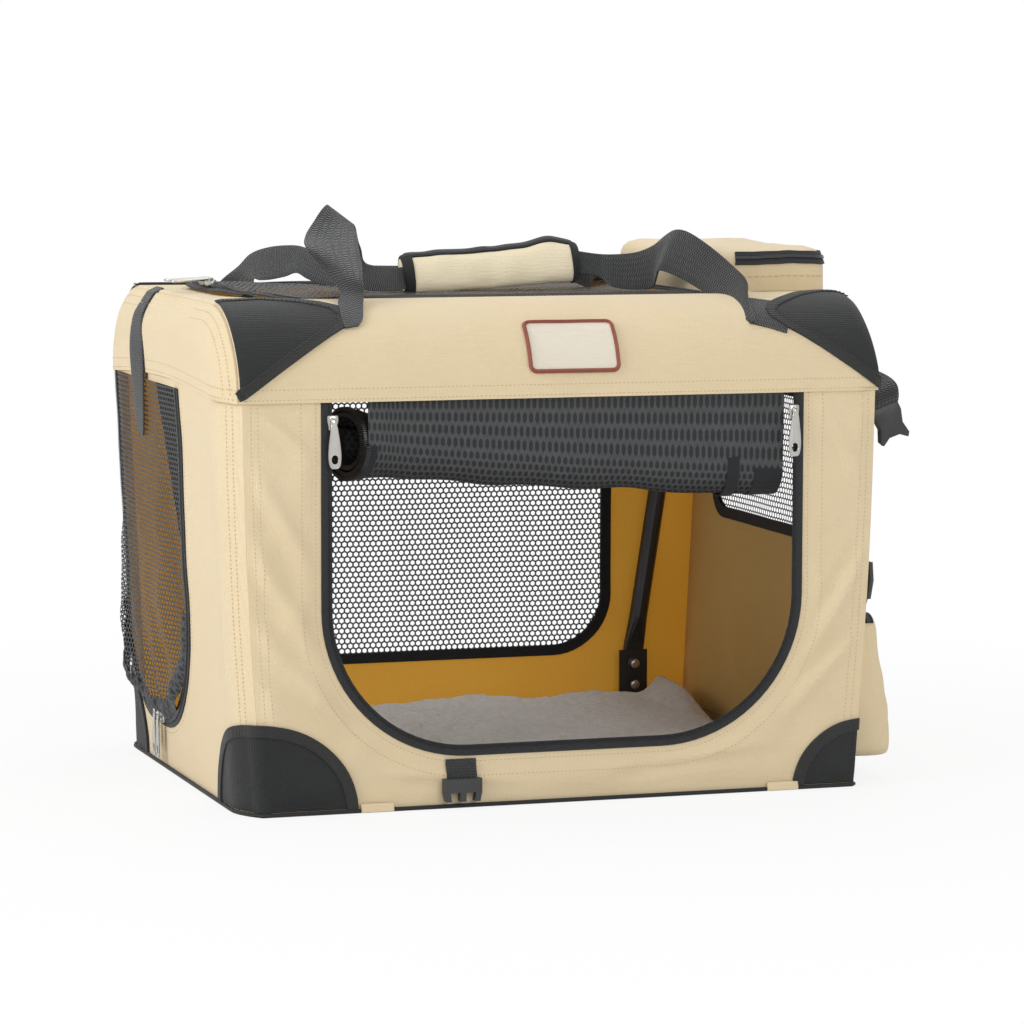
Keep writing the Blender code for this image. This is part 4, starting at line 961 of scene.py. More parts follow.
# Fleece mat
# A thin pad of white-grey sherpa fleece, loosely cut, that lies inside the bottom tube and over the floor.
# Its pile stands in small soft clumps.
sherpa = Finish("sherpa fleece", {"Roughness": 0.95, "Sheen Weight": 0.5, "Sheen Roughness": 0.6})
clump_hollow_and_shade = sherpa.node("TexVoronoi", {"feature": "SMOOTH_F1"},
                    {"Vector": sherpa.node("TexCoord", out="Object"), "Scale": 170.0}, out="Distance")
fuzz = sherpa.noise(600.0, 5.0)
# The colour goes darker towards each clump's edge, where the bump dips: painted shade between the clumps. The fine fuzz
# adds random tone.
sherpa.set(Base_Color=sherpa.blend(clump_hollow_and_shade * 0.7 + fuzz * 0.4, paint(236, 231, 226), paint(196, 190, 186)),
           Normal=sherpa.bump(fuzz * 0.8 - clump_hollow_and_shade * 1.2, 0.003, 0.8))
MAT_X, MAT_Y, MAT_FOOT = 0.2255, 0.1695, 0.0030
MAT_ROWS, MAT_COLUMNS = 120, 170


def mat_top(x, y):
    """The mat's upper side: a soft edge, loose waves, a corner pushed up at the back right, and its pile."""
    edge = min(MAT_X - abs(x), MAT_Y - abs(y))
    rise = 0.0040 + 0.0240 * sqrt(min(max(edge, 0.0) / 0.028, 1.0))
    rise += 0.006 * smooth_step((y + 0.05) / 0.2) * min(edge / 0.02, 1)
    rise += slack(x, y, 5.0, 0.055, 0.0046) * smooth_step(edge / 0.03)
    rise += 0.020 * smooth_step((x - 0.182) / 0.034) * smooth_step((y - 0.02) / 0.10) * min(max(edge, 0.0) / 0.012, 1)
    pile = 0.0014 * noise.noise(Vector((x * 190, y * 190, 1.0)))
    pile += 0.0006 * noise.noise(Vector((x * 420, y * 420, 4.0)))
    return Vector((x, y, rise + pile))


mat = Shape()
rows, under = [], []
for row in range(MAT_ROWS + 1):
    y = -MAT_Y + 2 * MAT_Y * row / MAT_ROWS
    line = [(-MAT_X + 2 * MAT_X * column / MAT_COLUMNS, y) for column in range(MAT_COLUMNS + 1)]
    rows.append([mat_top(u, v) for u, v in line])
    under.append([Vector((u, v, MAT_FOOT)) for u, v in line])
mat.rows(rows)
mat.rows([row[::-1] for row in under])
for line, base in ((rows[0], under[0]), (rows[-1][::-1], under[-1][::-1]),
                   ([row[0] for row in rows][::-1], [row[0] for row in under][::-1]),
                   ([row[-1] for row in rows], [row[-1] for row in under])):
    mat.rows([base, line])
mat_piece = mat.make("sherpa_mat", [sherpa], "base", ["fleece_mat"], crisp=80)
crumple(mat_piece)


# Foot piping
# A cord in a sleeve of black tape, sewn round the foot of the four walls.
# It covers the seam between them and the floor's sleeve.
nylon = canvas("black nylon", paint(25, 26, 27), paint(41, 42, 43), depth=0.0003, pitch=0.0014, roughness=0.62,
               sheen=0.05)
piping = Shape()
trim(piping, divide(foot_path(0.0), 0.01), level(0.0020), cord_section(0, 0, 0.0017, 10), closed=True)
piping.make("foot_piping", [nylon], "base", ["bottom_piping"])


# Bottom corner patches
# Half-round patches of black nylon that wrap the four bottom corners, edged with a raised hem and sewn on.
# The left ones are larger, and stand out with the fuller end.
hem_tape = canvas("black patch hem", paint(32, 33, 33), paint(54, 55, 53), depth=0.0004, pitch=0.0017, roughness=0.7,
                  sheen=0.1)
PATCH_FOOT = 0.004


def corner_surface(side, end):
    """The lower corner laid flat: u runs along the long wall, then round the corner along the end wall."""
    def surface(u, z, out):
        lift = 0.0011 + out

        def long_wall(run):
            x = side * (wall_half(z) + run + 0.002)
            return front_surface(x, z, lift) if end < 0 else back_surface(x, z, lift)

        def end_wall(run):
            return (left_surface if side < 0 else right_surface)(end * (0.1995 - run), z, lift)

        run, stand = (0.010, 0.0045) if side < 0 else (0.006, 0.0018)
        if u <= -run:
            return long_wall(u)
        if u >= run:
            return end_wall(u)
        share = (u + run) / (2 * run)
        corner = Vector((side * (wall_half(z) + lift + stand), end * (FRONT_Y + lift + stand), z))
        return long_wall(-run) * (1 - share) ** 2 + corner * (2 * share * (1 - share)) + end_wall(run) * share ** 2
    return surface


for side, side_name, long_way, tall in ((-1, "left", 0.078, 0.0696), (1, "right", 0.055, 0.0520)):
    turns = [radians(5 * step) for step in range(19)]
    corner_outline = [(-long_way * cos(turn), PATCH_FOOT + tall * sin(turn)) for turn in turns]
    corner_outline += [(0.078 * cos(turn), PATCH_FOOT + tall * sin(turn)) for turn in turns[-2::-1]]
    for end, end_name in ENDS:
        surface = corner_surface(side, end)
        patch = Shape()
        panel(patch, divide(corner_outline, 0.004), None, (0.0, 0.025), surface, 0.0012, 0.004, 14)
        hemmed = divide(corner_outline, 0.004, closed=False)
        trim(patch, hemmed, surface, strip(-0.0095, 0.0, 0.0, 0.0014, 0.0005), slot=1)
        stitches(patch, offset(hemmed, -0.0085), surface, 2, lift=0.0012)
        crumple(patch.make(f"foot_patch_{side_name}_{end_name}", [nylon, hem_tape, binding_black], "base",
                           [f"bottom_patch_{side_name}_{end_name}"]))


# Top cover
# One length of canvas runs over the crate from the front skirt to the back skirt, with the top door cut in it.
# It overlaps the walls, and its hems are turned and sewn with two rows of thread.
BEND, SKIRT_FOOT, SKIRT_STRAIGHT = 0.070, 0.324, 0.006
BEND_START_Y, TOP = 0.130, 0.400
BEND_RUN = BEND * pi / 2
COVER_RUN = 2 * (SKIRT_STRAIGHT + BEND_RUN) + 2 * BEND_START_Y
COVER_MIDDLE = COVER_RUN / 2
TOP_DOOR_X, TOP_DOOR_HUB = -0.049, (-0.036, COVER_MIDDLE)


def over_bend(s, out):
    """The height and depth of a point s metres over the crate from the front skirt's hem."""
    end = -1 if s < COVER_MIDDLE else 1
    s = min(s, COVER_RUN - s)
    if s <= SKIRT_STRAIGHT:
        return end * (BEND_START_Y + BEND + out), SKIRT_FOOT + s
    turn = (s - SKIRT_STRAIGHT) / BEND
    if turn <= pi / 2:
        return end * (BEND_START_Y + (BEND + out) * cos(turn)), TOP - BEND + (BEND + out) * sin(turn)
    return end * (BEND_START_Y - (s - SKIRT_STRAIGHT - BEND_RUN)), TOP + out


def end_round(s, side):
    """The cloth is seamed sharply at its left end, and rolls over the hoop at its right end."""
    return 0.003 + (0.017 * smooth_step((over_bend(s, 0)[1] - SKIRT_FOOT) / 0.072) if side > 0 else 0.0)


def cover_plain(x, s, out):
    """A point on the cover, x metres along it from its middle and over the rounding at its ends."""
    side = 1 if x > 0 else -1
    radius = end_round(s, side)
    flat = half_length(over_bend(s, 0)[1]) - radius
    turn = min(max((abs(x) - flat) / radius, 0.0), 1.6)
    if not turn:
        y, z = over_bend(s, out)
        return Vector((x, y, z))
    y, z = over_bend(s, (radius + out) * cos(turn) - radius)
    return Vector((side * (half_length(z) - radius + (radius + out) * sin(turn)), y, z))


def cover_surface(x, s, out):
    near = min(s, COVER_RUN - s)
    hem = 0.0012 * smooth_step((0.03 - near) / 0.03) * (0.6 + noise.noise(Vector((x * 14, 0.0, 7.0))))
    door = max(abs(x - TOP_DOOR_X) - 0.199, abs(s - COVER_MIDDLE) - 0.122)
    loose = smooth_step((0.266 - abs(x)) / 0.03) * smooth_step(door / 0.02)
    fold = crease(x, s, (-0.236, 0.118), (-0.232, 0.200), 0.006, 0.0016)
    fold += crease(x, s, (0.05, 0.10), (0.16, 0.04), 0.009, 0.0012)
    return cover_plain(x, s, (slack(x, s, 71.0, 0.09, 0.0014) + fold) * loose + hem + out)


def cover_half(s, side):
    """How far the cover's cloth runs to its end seam from its middle."""
    return half_length(over_bend(s, 0)[1]) - end_round(s, side) * (1 - pi / 2)


TOP_DOOR = rounded(-0.2445, 0.1465, COVER_MIDDLE - 0.1185, COVER_MIDDLE + 0.1185, (0.0765, 0.0085, 0.0085, 0.0765))
stations = [COVER_RUN * step / 48 for step in range(49)]
cover_edge = [(cover_half(s, 1), s) for s in stations] + [(-cover_half(s, -1), s) for s in stations[::-1]]
cover = Shape()
panel(cover, divide(cover_edge, 0.02), TOP_DOOR, TOP_DOOR_HUB, cover_surface, CLOTH, 0.007, 34, lining=1)
for row in (0.0025, 0.0105):
    for s in (row, COVER_RUN - row):
        stitches(cover, [(-0.262, s), (0.262, s)], cover_surface, 2)
stitches(cover, offset(TOP_DOOR, -HEM_ROW, True), cover_surface, 2, closed=True)
cover_piece = cover.make("cover_canvas", [cream, lining_painted_light, thread_tan], "top", ["top_cover"])
flat_area(cover_edge, TOP_DOOR)


# End bands
# A band of canvas closes each end of the cover above the wall. It is sewn on with two rows of thread down its
# arcs, and hemmed with two more. It sags a little below the middle of its hem.
BAND_HALF = 0.1966


def band_surface(side):
    """An end of the cover: the left one is drawn out like a pillow from its seam, the right one is flatter."""
    def surface(y, z, out):
        inward = BEND - hypot(max(abs(y) - BEND_START_Y, 0.0), max(z - (TOP - BEND), 0.0))
        crown = left_swell(inward) if side < 0 else 0.0016 * smooth_step(inward / 0.05)
        rise = crown + slack(y, z, 81.0 + side, 0.07, 0.0012) * smooth_step(inward / 0.03)
        return Vector((side * (half_length(z) - 0.0004 + rise + out), y, z))
    return surface


for side, side_name in SIDES:
    runs = [COVER_RUN * step / 60 for step in range(61)]
    arch = [over_bend(s, 0.0004 - end_round(s, side)) for s in runs]
    bow = [(BAND_HALF - 2 * BAND_HALF * step / 24, SKIRT_FOOT + 0.009 * sin(pi * step / 24)) for step in range(1, 24)]
    band_edge = arch + bow
    seam = [over_bend(s, -end_round(s, side)) for s in runs[1:-1]]
    surface = band_surface(side)
    band = Shape()
    panel(band, divide(band_edge, 0.006), None, (0, 0.352), surface, 0.0018, 0.006, 18, lining=1)
    hem = [(BAND_HALF, SKIRT_FOOT)] + bow + [(-BAND_HALF, SKIRT_FOOT)]
    for away in (0.0030, 0.0105):
        stitches(band, offset(hem, -away), surface, 2)
    for away in (0.0050, 0.0115):
        stitches(band, offset(seam[:19], -away), surface, 2)
        stitches(band, offset(seam[-19:], -away), surface, 2)
    band_piece = band.make(f"end_band_canvas_{side_name}", [cream, lining_painted_light, thread_tan], "top",
                           [f"end_band_{side_name}"])
    flat_area(band_edge)


# Top door
# A third door of net in the top, rounded at its left end, with a closed coil zip round it. Its two sliders
# meet at the left, and their pulls of bent wire lie over the end.
dense_net = net("dense black hexagonal net", NET_CELL, 0.46, paint(64, 65, 67))


def flowing(points, steps):
    """A smooth path through points, with steps places between each two."""
    points = [Vector(point) for point in points]
    ends = [points[0] * 2 - points[1]] + points + [points[-1] * 2 - points[-2]]
    result = []
    for a, b, c, d in zip(ends, ends[1:], ends[2:], ends[3:]):
        for step in range(steps):
            t = step / steps
            result.append(0.5 * (2 * b + (c - a) * t + (2 * a - 5 * b + 4 * c - d) * t * t
                                 + (3 * b - 3 * c + d - a) * t ** 3))
    return result + [points[-1]]


def door_swell(x, s):
    """The zip pulls the net up at its rounded end, and folds run from there along the door."""
    near = smooth_step((-0.05 - x) / 0.16)
    across = abs(s - COVER_MIDDLE)
    return near * (0.0068 * smooth_step((0.125 - across) / 0.09) + 0.0012 * sin(across * 110 + x * 40))


def door_surface(x, s, out):
    """The cover with the door's swell on it, which ends at the door's seam."""
    away = max(abs(x - TOP_DOOR_X) - 0.2035, abs(s - COVER_MIDDLE) - 0.1265)
    return cover_surface(x, s, door_swell(x, s) * smooth_step(-away / 0.012) + out)


top_zip_shape = Shape()
top_path = divide(TOP_DOOR, 0.005)
trim(top_zip_shape, top_path, door_surface, strip(-0.003, 0.010, -0.0004, 0.0007), closed=True)
coil(top_zip_shape, top_path, door_surface, 1, side=0.0035, lift=0.0006, width=0.0036, height=0.0013, closed=True)
top_zip_shape.make("top_zip_tape", [tape_black, coil_black], "top", ["top_zip"])


def top_net_surface(x, s, out):
    return cover_plain(x, s, door_swell(x, s) + slack(x, s, 91.0, 0.06, 0.0026) * 0.8 - 0.0010)


top_net = Shape()
top_net_edge = rounded(-0.2355, 0.1375, COVER_MIDDLE - 0.1095, COVER_MIDDLE + 0.1095, (0.0675, 0.003, 0.003, 0.0675))
panel(top_net, divide(top_net_edge, 0.01), None, TOP_DOOR_HUB, top_net_surface, 0, 0.006, 30)
top_net_piece = top_net.make("top_door_net", [dense_net], "top", ["top_mesh"], closed=False)
flat_area(top_net_edge)

for end, end_name in ENDS:
    spot = door_surface(-0.2440, COVER_MIDDLE + end * 0.0068, 0.0016)
    body = Shape()
    slider_body(body, frame_at(spot + Vector((0.003, 0, 0)), (0.35, -end, 0), (-0.25, 0, 1)), 0.0118, 0.0098, 0.0058)
    low = spot + Vector((0.004, 0, 0.0050))
    half_loop = [(0, 0.0016), (-0.008, 0.0034), (-0.028, 0.0044), (-0.033, 0.0030)]
    bent = half_loop + [(-0.0345, 0)] + [(run, -wide) for run, wide in half_loop[::-1]]
    loop = [low + Vector((run, wide + end * run * -0.12, -0.0016 * smooth_step(-run / 0.02))) for run, wide in bent]
    wire(body, flowing(loop, 5), 0.0011, closed=True)
    body.make(f"top_slider_body_{end_name}", [nickel], f"top_{end_name}_slider", [f"top_slider_{end_name}"])


# Top corner patches
# Black nylon reinforcements on the four corners of the cover. Each runs from the hem up the corner and out
# to a point, where a carry strap is sewn on. Their places are (along, over) the cover, for a front corner.
PATCH_LIFT = 0.0014
PATCH_TOPS = {"left": ((0.232, 0.1145), (0.206, 0.106), (0.188, 0.098)),
              "right": ((0.240, 0.1165), (0.214, 0.104), (0.192, 0.090))}
PATCH_TIPS = {"left": ((0.176, 0.090), (0.171, 0.078), (0.174, 0.064), (0.186, 0.056)),
              "right": ((0.184, 0.084), (0.1795, 0.075), (0.181, 0.066), (0.191, 0.056))}
for side, side_name in SIDES:
    for end, end_name in ENDS:
        outer = [(cover_half(s, side) - end_round(s, side) * 0.9, s)
                 for s in (0.002, 0.02, 0.04, 0.06, 0.08, 0.10, 0.112)]
        half_outline = outer + list(PATCH_TOPS[side_name] + PATCH_TIPS[side_name])
        outline = [(side * u, v if end < 0 else COVER_RUN - v) for u, v in half_outline]
        hemmed = outline[len(outer) - 1:] + outline[:1]
        if side * end > 0:
            outline, hemmed = outline[::-1], hemmed[::-1]
        patch = Shape()
        middle = (side * 0.228, 0.078 if end < 0 else COVER_RUN - 0.078)
        skin = raised(cover_surface, PATCH_LIFT)
        panel(patch, divide(outline, 0.006), None, middle, skin, 0.0012, 0.005, 14)
        edge = divide(hemmed, 0.005, closed=False)
        trim(patch, edge, skin, strip(0.0, 0.0085, 0.0, 0.0009, 0.0004), slot=1)
        stitches(patch, offset(edge, 0.0072), raised(cover_surface, PATCH_LIFT + 0.0010), 1)
        patch.make(f"corner_patch_{side_name}_{end_name}", [nylon, hem_tape], "top",
                   [f"top_patch_{side_name}_{end_name}"])


# Label patch
# A small bare patch of off-white twill, sewn to the front bend of the cover.
# Its edge is overlocked in brown-red thread, in close turns over a thicker rim.
LABEL_LOW, LABEL_HIGH, LABEL_LEFT, LABEL_RIGHT = 0.0195, 0.0655, -0.0315, 0.0445
LABEL_LIFT, LABEL_THICK = 0.0014, 0.0012
twill = canvas("off-white twill", paint(240, 232, 216), paint(228, 218, 198), pitch=0.0009)
merrow = Finish("brown-red overlock", {"Roughness": 0.55, "Sheen Weight": 0.2})
merrow.set(Base_Color=merrow.blend(merrow.noise(700.0), paint(156, 78, 50), paint(118, 50, 30)))
label = Shape()
label_edge = divide(rounded(LABEL_LEFT, LABEL_RIGHT, LABEL_LOW, LABEL_HIGH, (0.006,) * 4, 6), 0.002)
label_skin = raised(cover_surface, LABEL_LIFT)
panel(label, label_edge, None, (0.0065, 0.0425), label_skin, LABEL_THICK, 0.004, 8)
trim(label, label_edge, label_skin, cord_section(0.0012, 0.0, 0.0015), closed=True, slot=1)
WRAPPED_STITCH = [(0, 1, 3, 2), (2, 3, 5, 4), (0, 2, 6), (2, 4, 6), (3, 1, 6), (5, 3, 6), (1, 0, 6), (4, 5, 6)]
for u, v, du, dv in pace(label_edge, 0.0011, True):
    points = [cover_surface(u + du * along - dv * across, v + dv * along + du * across, 0.0006 + out)
              for across, out in ((-0.0005, 0.0010), (0.0012, 0.0030), (0.0030, 0.0012)) for along in (-0.0004, 0.0004)]
    points.append(cover_surface(u - dv * 0.0012, v + du * 0.0012, 0.0012))
    label.add(points, WRAPPED_STITCH, 1)
label.make("label_patch_bare", [twill, merrow], "top", ["label_patch"])


# Carry straps
# Two loops of ribbed black webbing, 38 mm wide. Each is sewn to the tips of the corner patches at its ends,
# rises over the top, twists, and comes into the hand wrap from both sides, folded together there.
WEBBING = 0.038
webbing = Finish("black ribbed webbing", {"Roughness": 0.72, "Sheen Weight": 0.3})
flat = webbing.node("TexCoord", out="UV")
across = webbing.node("SeparateXYZ", {}, {0: flat}, out="X")
ribs = sine(across.other("Y") * (2 * pi / 0.0022) + sine(across * (2 * pi / 0.0056)) * 1.4)
# Painted light and shade: the rib crests are painted lighter and the grooves darker, following the same ribs as the
# bump. The noise on top is random tone.
rib_shade_and_mottle = ribs * 0.35 + webbing.noise(240.0) * 0.5 + 0.1
webbing.set(Base_Color=webbing.blend(rib_shade_and_mottle, paint(20, 21, 23), paint(58, 60, 62)),
            Normal=webbing.bump(ribs, 0.0007, 0.8))


def strap(shape, points, acrosses, widths, thick=0.0018, steps=10):
    """Webbing along a path, with its width's direction and size given at each point."""
    path = flowing(points, steps)
    turns = flowing(acrosses, steps)
    sizes = flowing([(width, 0, 0) for width in widths], steps)
    rows, places, run = [], [], 0.0
    for index, centre in enumerate(path):
        tangent = (path[min(index + 1, len(path) - 1)] - path[max(index - 1, 0)]).normalized()
        side = turns[index].normalized()
        out = side.cross(tangent).normalized()
        half = sizes[index].x / 2
        if index:
            run += (centre - path[index - 1]).length
        shares = (-1, -0.96, -0.6, -0.2, 0.2, 0.6, 0.96, 1)
        skin = [(share, 1) for share in shares] + [(share, -1) for share in shares[::-1]]
        rows.append([centre + side * half * share + out * (face * thick * (0.28 if abs(share) == 1 else 0.5))
                     for share, face in skin])
        places.append([(share * WEBBING / 2, run) for share, face in skin])
    shape.rows(rows, 0, places, ring=True, caps=True)


# Each strap from its foot to the wrap: the middle of the webbing, the way across it, and its width there.
STRAP_PATHS = {
    "left_front": [
        (-0.1714, -0.1803, 0.3815, 0.98, 0.14, 0.14, 0.012),
        (-0.1689, -0.1705, 0.3895, 0.94, -0.29, -0.2, 0.018),
        (-0.1660, -0.1577, 0.3985, 0.93, -0.33, -0.13, 0.02),
        (-0.1625, -0.1500, 0.4055, 0.85, -0.5, -0.12, 0.019),
        (-0.1662, -0.1400, 0.4189, 0.76, -0.6, -0.19, 0.032),
        (-0.1701, -0.1240, 0.4349, 0.95, -0.22, -0.26, 0.045),
        (-0.1667, -0.1060, 0.4447, 0.93, -0.3, -0.18, 0.043),
        (-0.1598, -0.0920, 0.4553, 0.95, -0.13, -0.27, 0.036),
        (-0.1534, -0.0800, 0.4640, 0.83, 0.06, -0.54, 0.029),
        (-0.1489, -0.0730, 0.4617, 0.82, 0.08, -0.56, 0.029),
        (-0.1421, -0.0620, 0.4448, 0.88, 0.3, -0.3, 0.027),
        (-0.1303, -0.0440, 0.4200, 0.72, 0.42, 0.54, 0.025),
        (-0.1123, -0.0270, 0.4117, 0.47, 0.39, 0.79, 0.024),
        (-0.0850, -0.0100, 0.4093, 0.14, 0.46, 0.88, 0.021),
        (-0.0720, -0.0060, 0.4110, 0.13, 0.4, 0.9, 0.02)],
    "left_back": [
        (-0.1770, 0.1755, 0.3815, 1, 0, 0, 0.034),
        (-0.1755, 0.1650, 0.3935, 0.8, -0.5, -0.2, 0.034),
        (-0.1708, 0.1500, 0.4078, 0.2, -0.9, -0.3, 0.031),
        (-0.1658, 0.1350, 0.4140, 0.03, -0.73, -0.68, 0.032),
        (-0.1588, 0.1150, 0.4177, -0.1, -0.56, -0.82, 0.032),
        (-0.1507, 0.0950, 0.4205, -0.18, -0.55, -0.82, 0.031),
        (-0.1430, 0.0800, 0.4222, -0.31, -0.6, -0.72, 0.029),
        (-0.1350, 0.0650, 0.4174, -0.45, -0.5, -0.74, 0.028),
        (-0.1237, 0.0500, 0.4110, -0.4, -0.56, -0.72, 0.026),
        (-0.1035, 0.0300, 0.4095, -0.21, -0.6, -0.77, 0.024),
        (-0.0784, 0.0120, 0.4100, -0.13, -0.43, -0.89, 0.02),
        (-0.0716, 0.0060, 0.4110, -0.1, -0.4, -0.9, 0.02)],
    "right_front": [
        (0.1670, -0.1700, 0.3892, -0.1, -0.84, -0.53, 0.036),
        (0.1645, -0.1655, 0.3925, -0.3, -0.66, -0.68, 0.035),
        (0.1622, -0.1540, 0.3980, -0.5, -0.25, -0.83, 0.032),
        (0.1598, -0.1420, 0.4040, -0.5, 0.1, -0.86, 0.031),
        (0.1510, -0.1220, 0.4160, -0.44, 0.22, -0.87, 0.033),
        (0.1408, -0.1040, 0.4263, -0.36, 0.28, -0.89, 0.036),
        (0.1330, -0.0880, 0.4325, -0.34, 0.28, -0.9, 0.038),
        (0.1283, -0.0770, 0.4334, -0.34, 0.2, -0.92, 0.037),
        (0.1276, -0.0640, 0.4275, -0.22, 0.0, -0.97, 0.036),
        (0.1247, -0.0520, 0.4190, -0.12, -0.18, -0.97, 0.036),
        (0.1133, -0.0380, 0.4150, -0.2, -0.25, -0.94, 0.032),
        (0.0983, -0.0240, 0.4150, -0.12, -0.36, -0.92, 0.028),
        (0.0875, -0.0120, 0.4193, 0.05, -0.45, -0.88, 0.021),
        (0.0670, -0.0060, 0.4222, -0.05, -0.3, -0.95, 0.02)],
    "right_back": [
        (0.1770, 0.1755, 0.3815, 1, 0, 0, 0.034),
        (0.1720, 0.1640, 0.3940, 1, 0, 0.1, 0.036),
        (0.1540, 0.1300, 0.4090, 0.9, 0, 0.4, 0.036),
        (0.1340, 0.0960, 0.4080, 0.85, 0, 0.5, 0.032),
        (0.1180, 0.0700, 0.4060, 0.7, 0.2, 0.6, 0.028),
        (0.1060, 0.0440, 0.4060, 0.4, 0, 0.9, 0.024),
        (0.0940, 0.0200, 0.4085, 0, 0, 1, 0.022),
        (0.0740, 0.0060, 0.4150, 0, 0, 1, 0.02)]}
for name, stations in STRAP_PATHS.items():
    loop = Shape()
    points = [station[:3] for station in stations]
    strap(loop, points, [station[3:6] for station in stations], [station[6] for station in stations])
    if name == "right_front":
        sewn = divide([(0.197, 0.066), (0.182, 0.0715), (0.1660, 0.0765)], 0.004, closed=False)
        under = [(side, 0.0002) for side in (-0.018, -0.009, 0.0, 0.009, 0.018)]
        trim(loop, sewn, cover_surface, under + [(side, 0.0013) for side, out in under[::-1]])
    loop_piece = loop.make(f"carry_strap_{name}", [webbing], None, [f"handle_strap_{name}"])
    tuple(points[2])
    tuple(points[-2])
    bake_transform(loop_piece)


# Hand wrap
# A padded sleeve of cream canvas that closes round both straps, bound all round with black tape.
# It closes on itself along its top, and leans a little to the back.
WRAP_HALF, WRAP_Z, WRAP_TILT = 0.077, 0.4170, 0.062
WRAP_DEEP, WRAP_TALL, WRAP_LEAN = 0.0125, 0.0162, 0.42
WRAP_ROWS, WRAP_SIDES = 60, 36
# Painted light: the wrap is the walls' cream canvas painted lighter, for the light that falls on its upward face.
wrap_cream_painted_light = canvas("cream canvas painted lighter on the wrap", paint(249, 237, 207), paint(240, 225, 190))
wrap = Shape()
rows = []
for step in range(WRAP_ROWS + 1):
    share = step / WRAP_ROWS
    x = -WRAP_HALF + 2 * WRAP_HALF * share
    ends = sqrt(max(0.0, 1 - (2 * share - 1) ** 12))
    deep = WRAP_DEEP * (0.55 + 0.45 * ends) + 0.0012 * noise.noise(Vector((x * 40, 0, 3)))
    tall = WRAP_TALL * (0.78 + 0.22 * ends) + 0.0022 * noise.noise(Vector((x * 34, 5, 3)))
    swell = 0.0050 * bell((x - 0.050) / 0.018)
    row = []
    for turn in range(WRAP_SIDES):
        angle = 2 * pi * turn / WRAP_SIDES
        c, s = cos(angle), sin(angle)
        wave = 1 + 0.05 * noise.noise(Vector((x * 60, 1.4 * c, 1.4 * s)))
        rise = tall * wave * (abs(s) ** 0.85) * (1 if s >= 0 else -1) + swell * smooth_step(s)
        row.append(Vector((x, deep * wave * (abs(c) ** 0.8) * (1 if c >= 0 else -1) + WRAP_LEAN * rise,
                           WRAP_Z + WRAP_TILT * x + rise)))
    rows.append(row)
wrap.rows(rows, 0, None, ring=True, caps=True)


def wrap_surface(around, x, out):
    """The wrap's skin: around runs from its top down the front, in turns of the full circle."""
    share = (x + WRAP_HALF) / (2 * WRAP_HALF)
    place = min(max(share, 0), 1) * WRAP_ROWS
    low = min(int(place), WRAP_ROWS - 1)
    spot = (0.25 + around) % 1.0 * WRAP_SIDES
    first, after = int(spot) % WRAP_SIDES, (int(spot) + 1) % WRAP_SIDES
    near, far = [rows[row][first].lerp(rows[row][after], spot - int(spot)) for row in (low, low + 1)]
    point = near.lerp(far, place - low)
    away = Vector((0, point.y, point.z - WRAP_Z - WRAP_TILT * point.x)).normalized()
    return point + away * out


def tape_section(low, low_ease, high_ease, high):
    """A bound edge's tape on the wrap, from one side to the other, thinner at both."""
    return ((low, -0.0004), (high, -0.0004), (high, 0.0012), (high_ease, 0.0018), (low_ease, 0.0018), (low, 0.0012))


TAPE_STEPS, TAPE_INSET = 48, 0.004
for x in (-WRAP_HALF + TAPE_INSET, WRAP_HALF - TAPE_INSET):
    section = tape_section(-0.0042, -0.003, 0.003, 0.0042)
    wrap.rows([[wrap_surface(turn / TAPE_STEPS, x + side, out) for side, out in section] for turn in range(TAPE_STEPS)],
              1, None, loop=True, ring=True)
closure = []
for step in range(TAPE_STEPS + 1):
    x = -WRAP_HALF + TAPE_INSET + (2 * WRAP_HALF - 2 * TAPE_INSET) * step / TAPE_STEPS
    wavy = 0.045 + 0.012 * noise.noise(Vector((x * 30, 2.0, 8.0)))
    closure.append([wrap_surface(wavy + side, x, out) for side, out in tape_section(-0.060, -0.045, 0.04, 0.055)])
wrap.rows(closure, 1, None, ring=True, caps=True)
wrap_piece = wrap.make("padded_hand_wrap", [wrap_cream_painted_light, binding_black], "grip", ["hand_wrap"])


# Pouches
# Two gusseted canvas pouches, one on the top at the right and one on the right end, each with a black zip
# let into it near its upper edge.
def pouch(shape, low, high, place, seed, corner, puff, ease=1.0):
    """A soft box: a lofted shell that rounds over towards its outer face, more or less, and sags a little."""
    u0, v0, w0 = low
    u1, v1, w1 = high
    levels = [(0.0, 0.0), (0.0, 0.25), (0.0, 0.5), (0.02, 0.7), (0.10, 0.84), (0.28, 0.94), (0.62, 0.99), (1.6, 1.0)]
    rows = []
    outline = divide(rounded(u0, u1, v0, v1, (corner,) * 4, 6), 0.006)
    cu, cv = (u0 + u1) / 2, (v0 + v1) / 2
    shrinks = [1 - ease * inset * corner / min(u1 - u0, v1 - v0) * 2 for inset, rise in levels]
    shrinks += [shrinks[-1] * share for share in (0.75, 0.5, 0.25, 0.0)]
    rises = [rise for inset, rise in levels] + [1.0] * 4
    for shrink, rise in zip(shrinks, rises):
        row = []
        for u, v in outline:
            pu, pv = cu + (u - cu) * shrink, cv + (v - cv) * shrink
            bulge = puff * (1 - shrink ** 2)
            w = w0 + (w1 - w0) * rise + bulge + slack(pu, pv, seed, 0.045, 0.0028) * min(1, rise * 1.6)
            swell = 0.0016 * noise.noise(Vector((u * 35, v * 35, seed + rise)))
            away = hypot(u - cu, v - cv) or 1.0
            row.append(place(pu + (u - cu) / away * swell, pv + (v - cv) / away * swell, w))
        rows.append(row)
    shape.rows(rows, 0, [outline] * len(rows), ring=True)
    return outline, rows


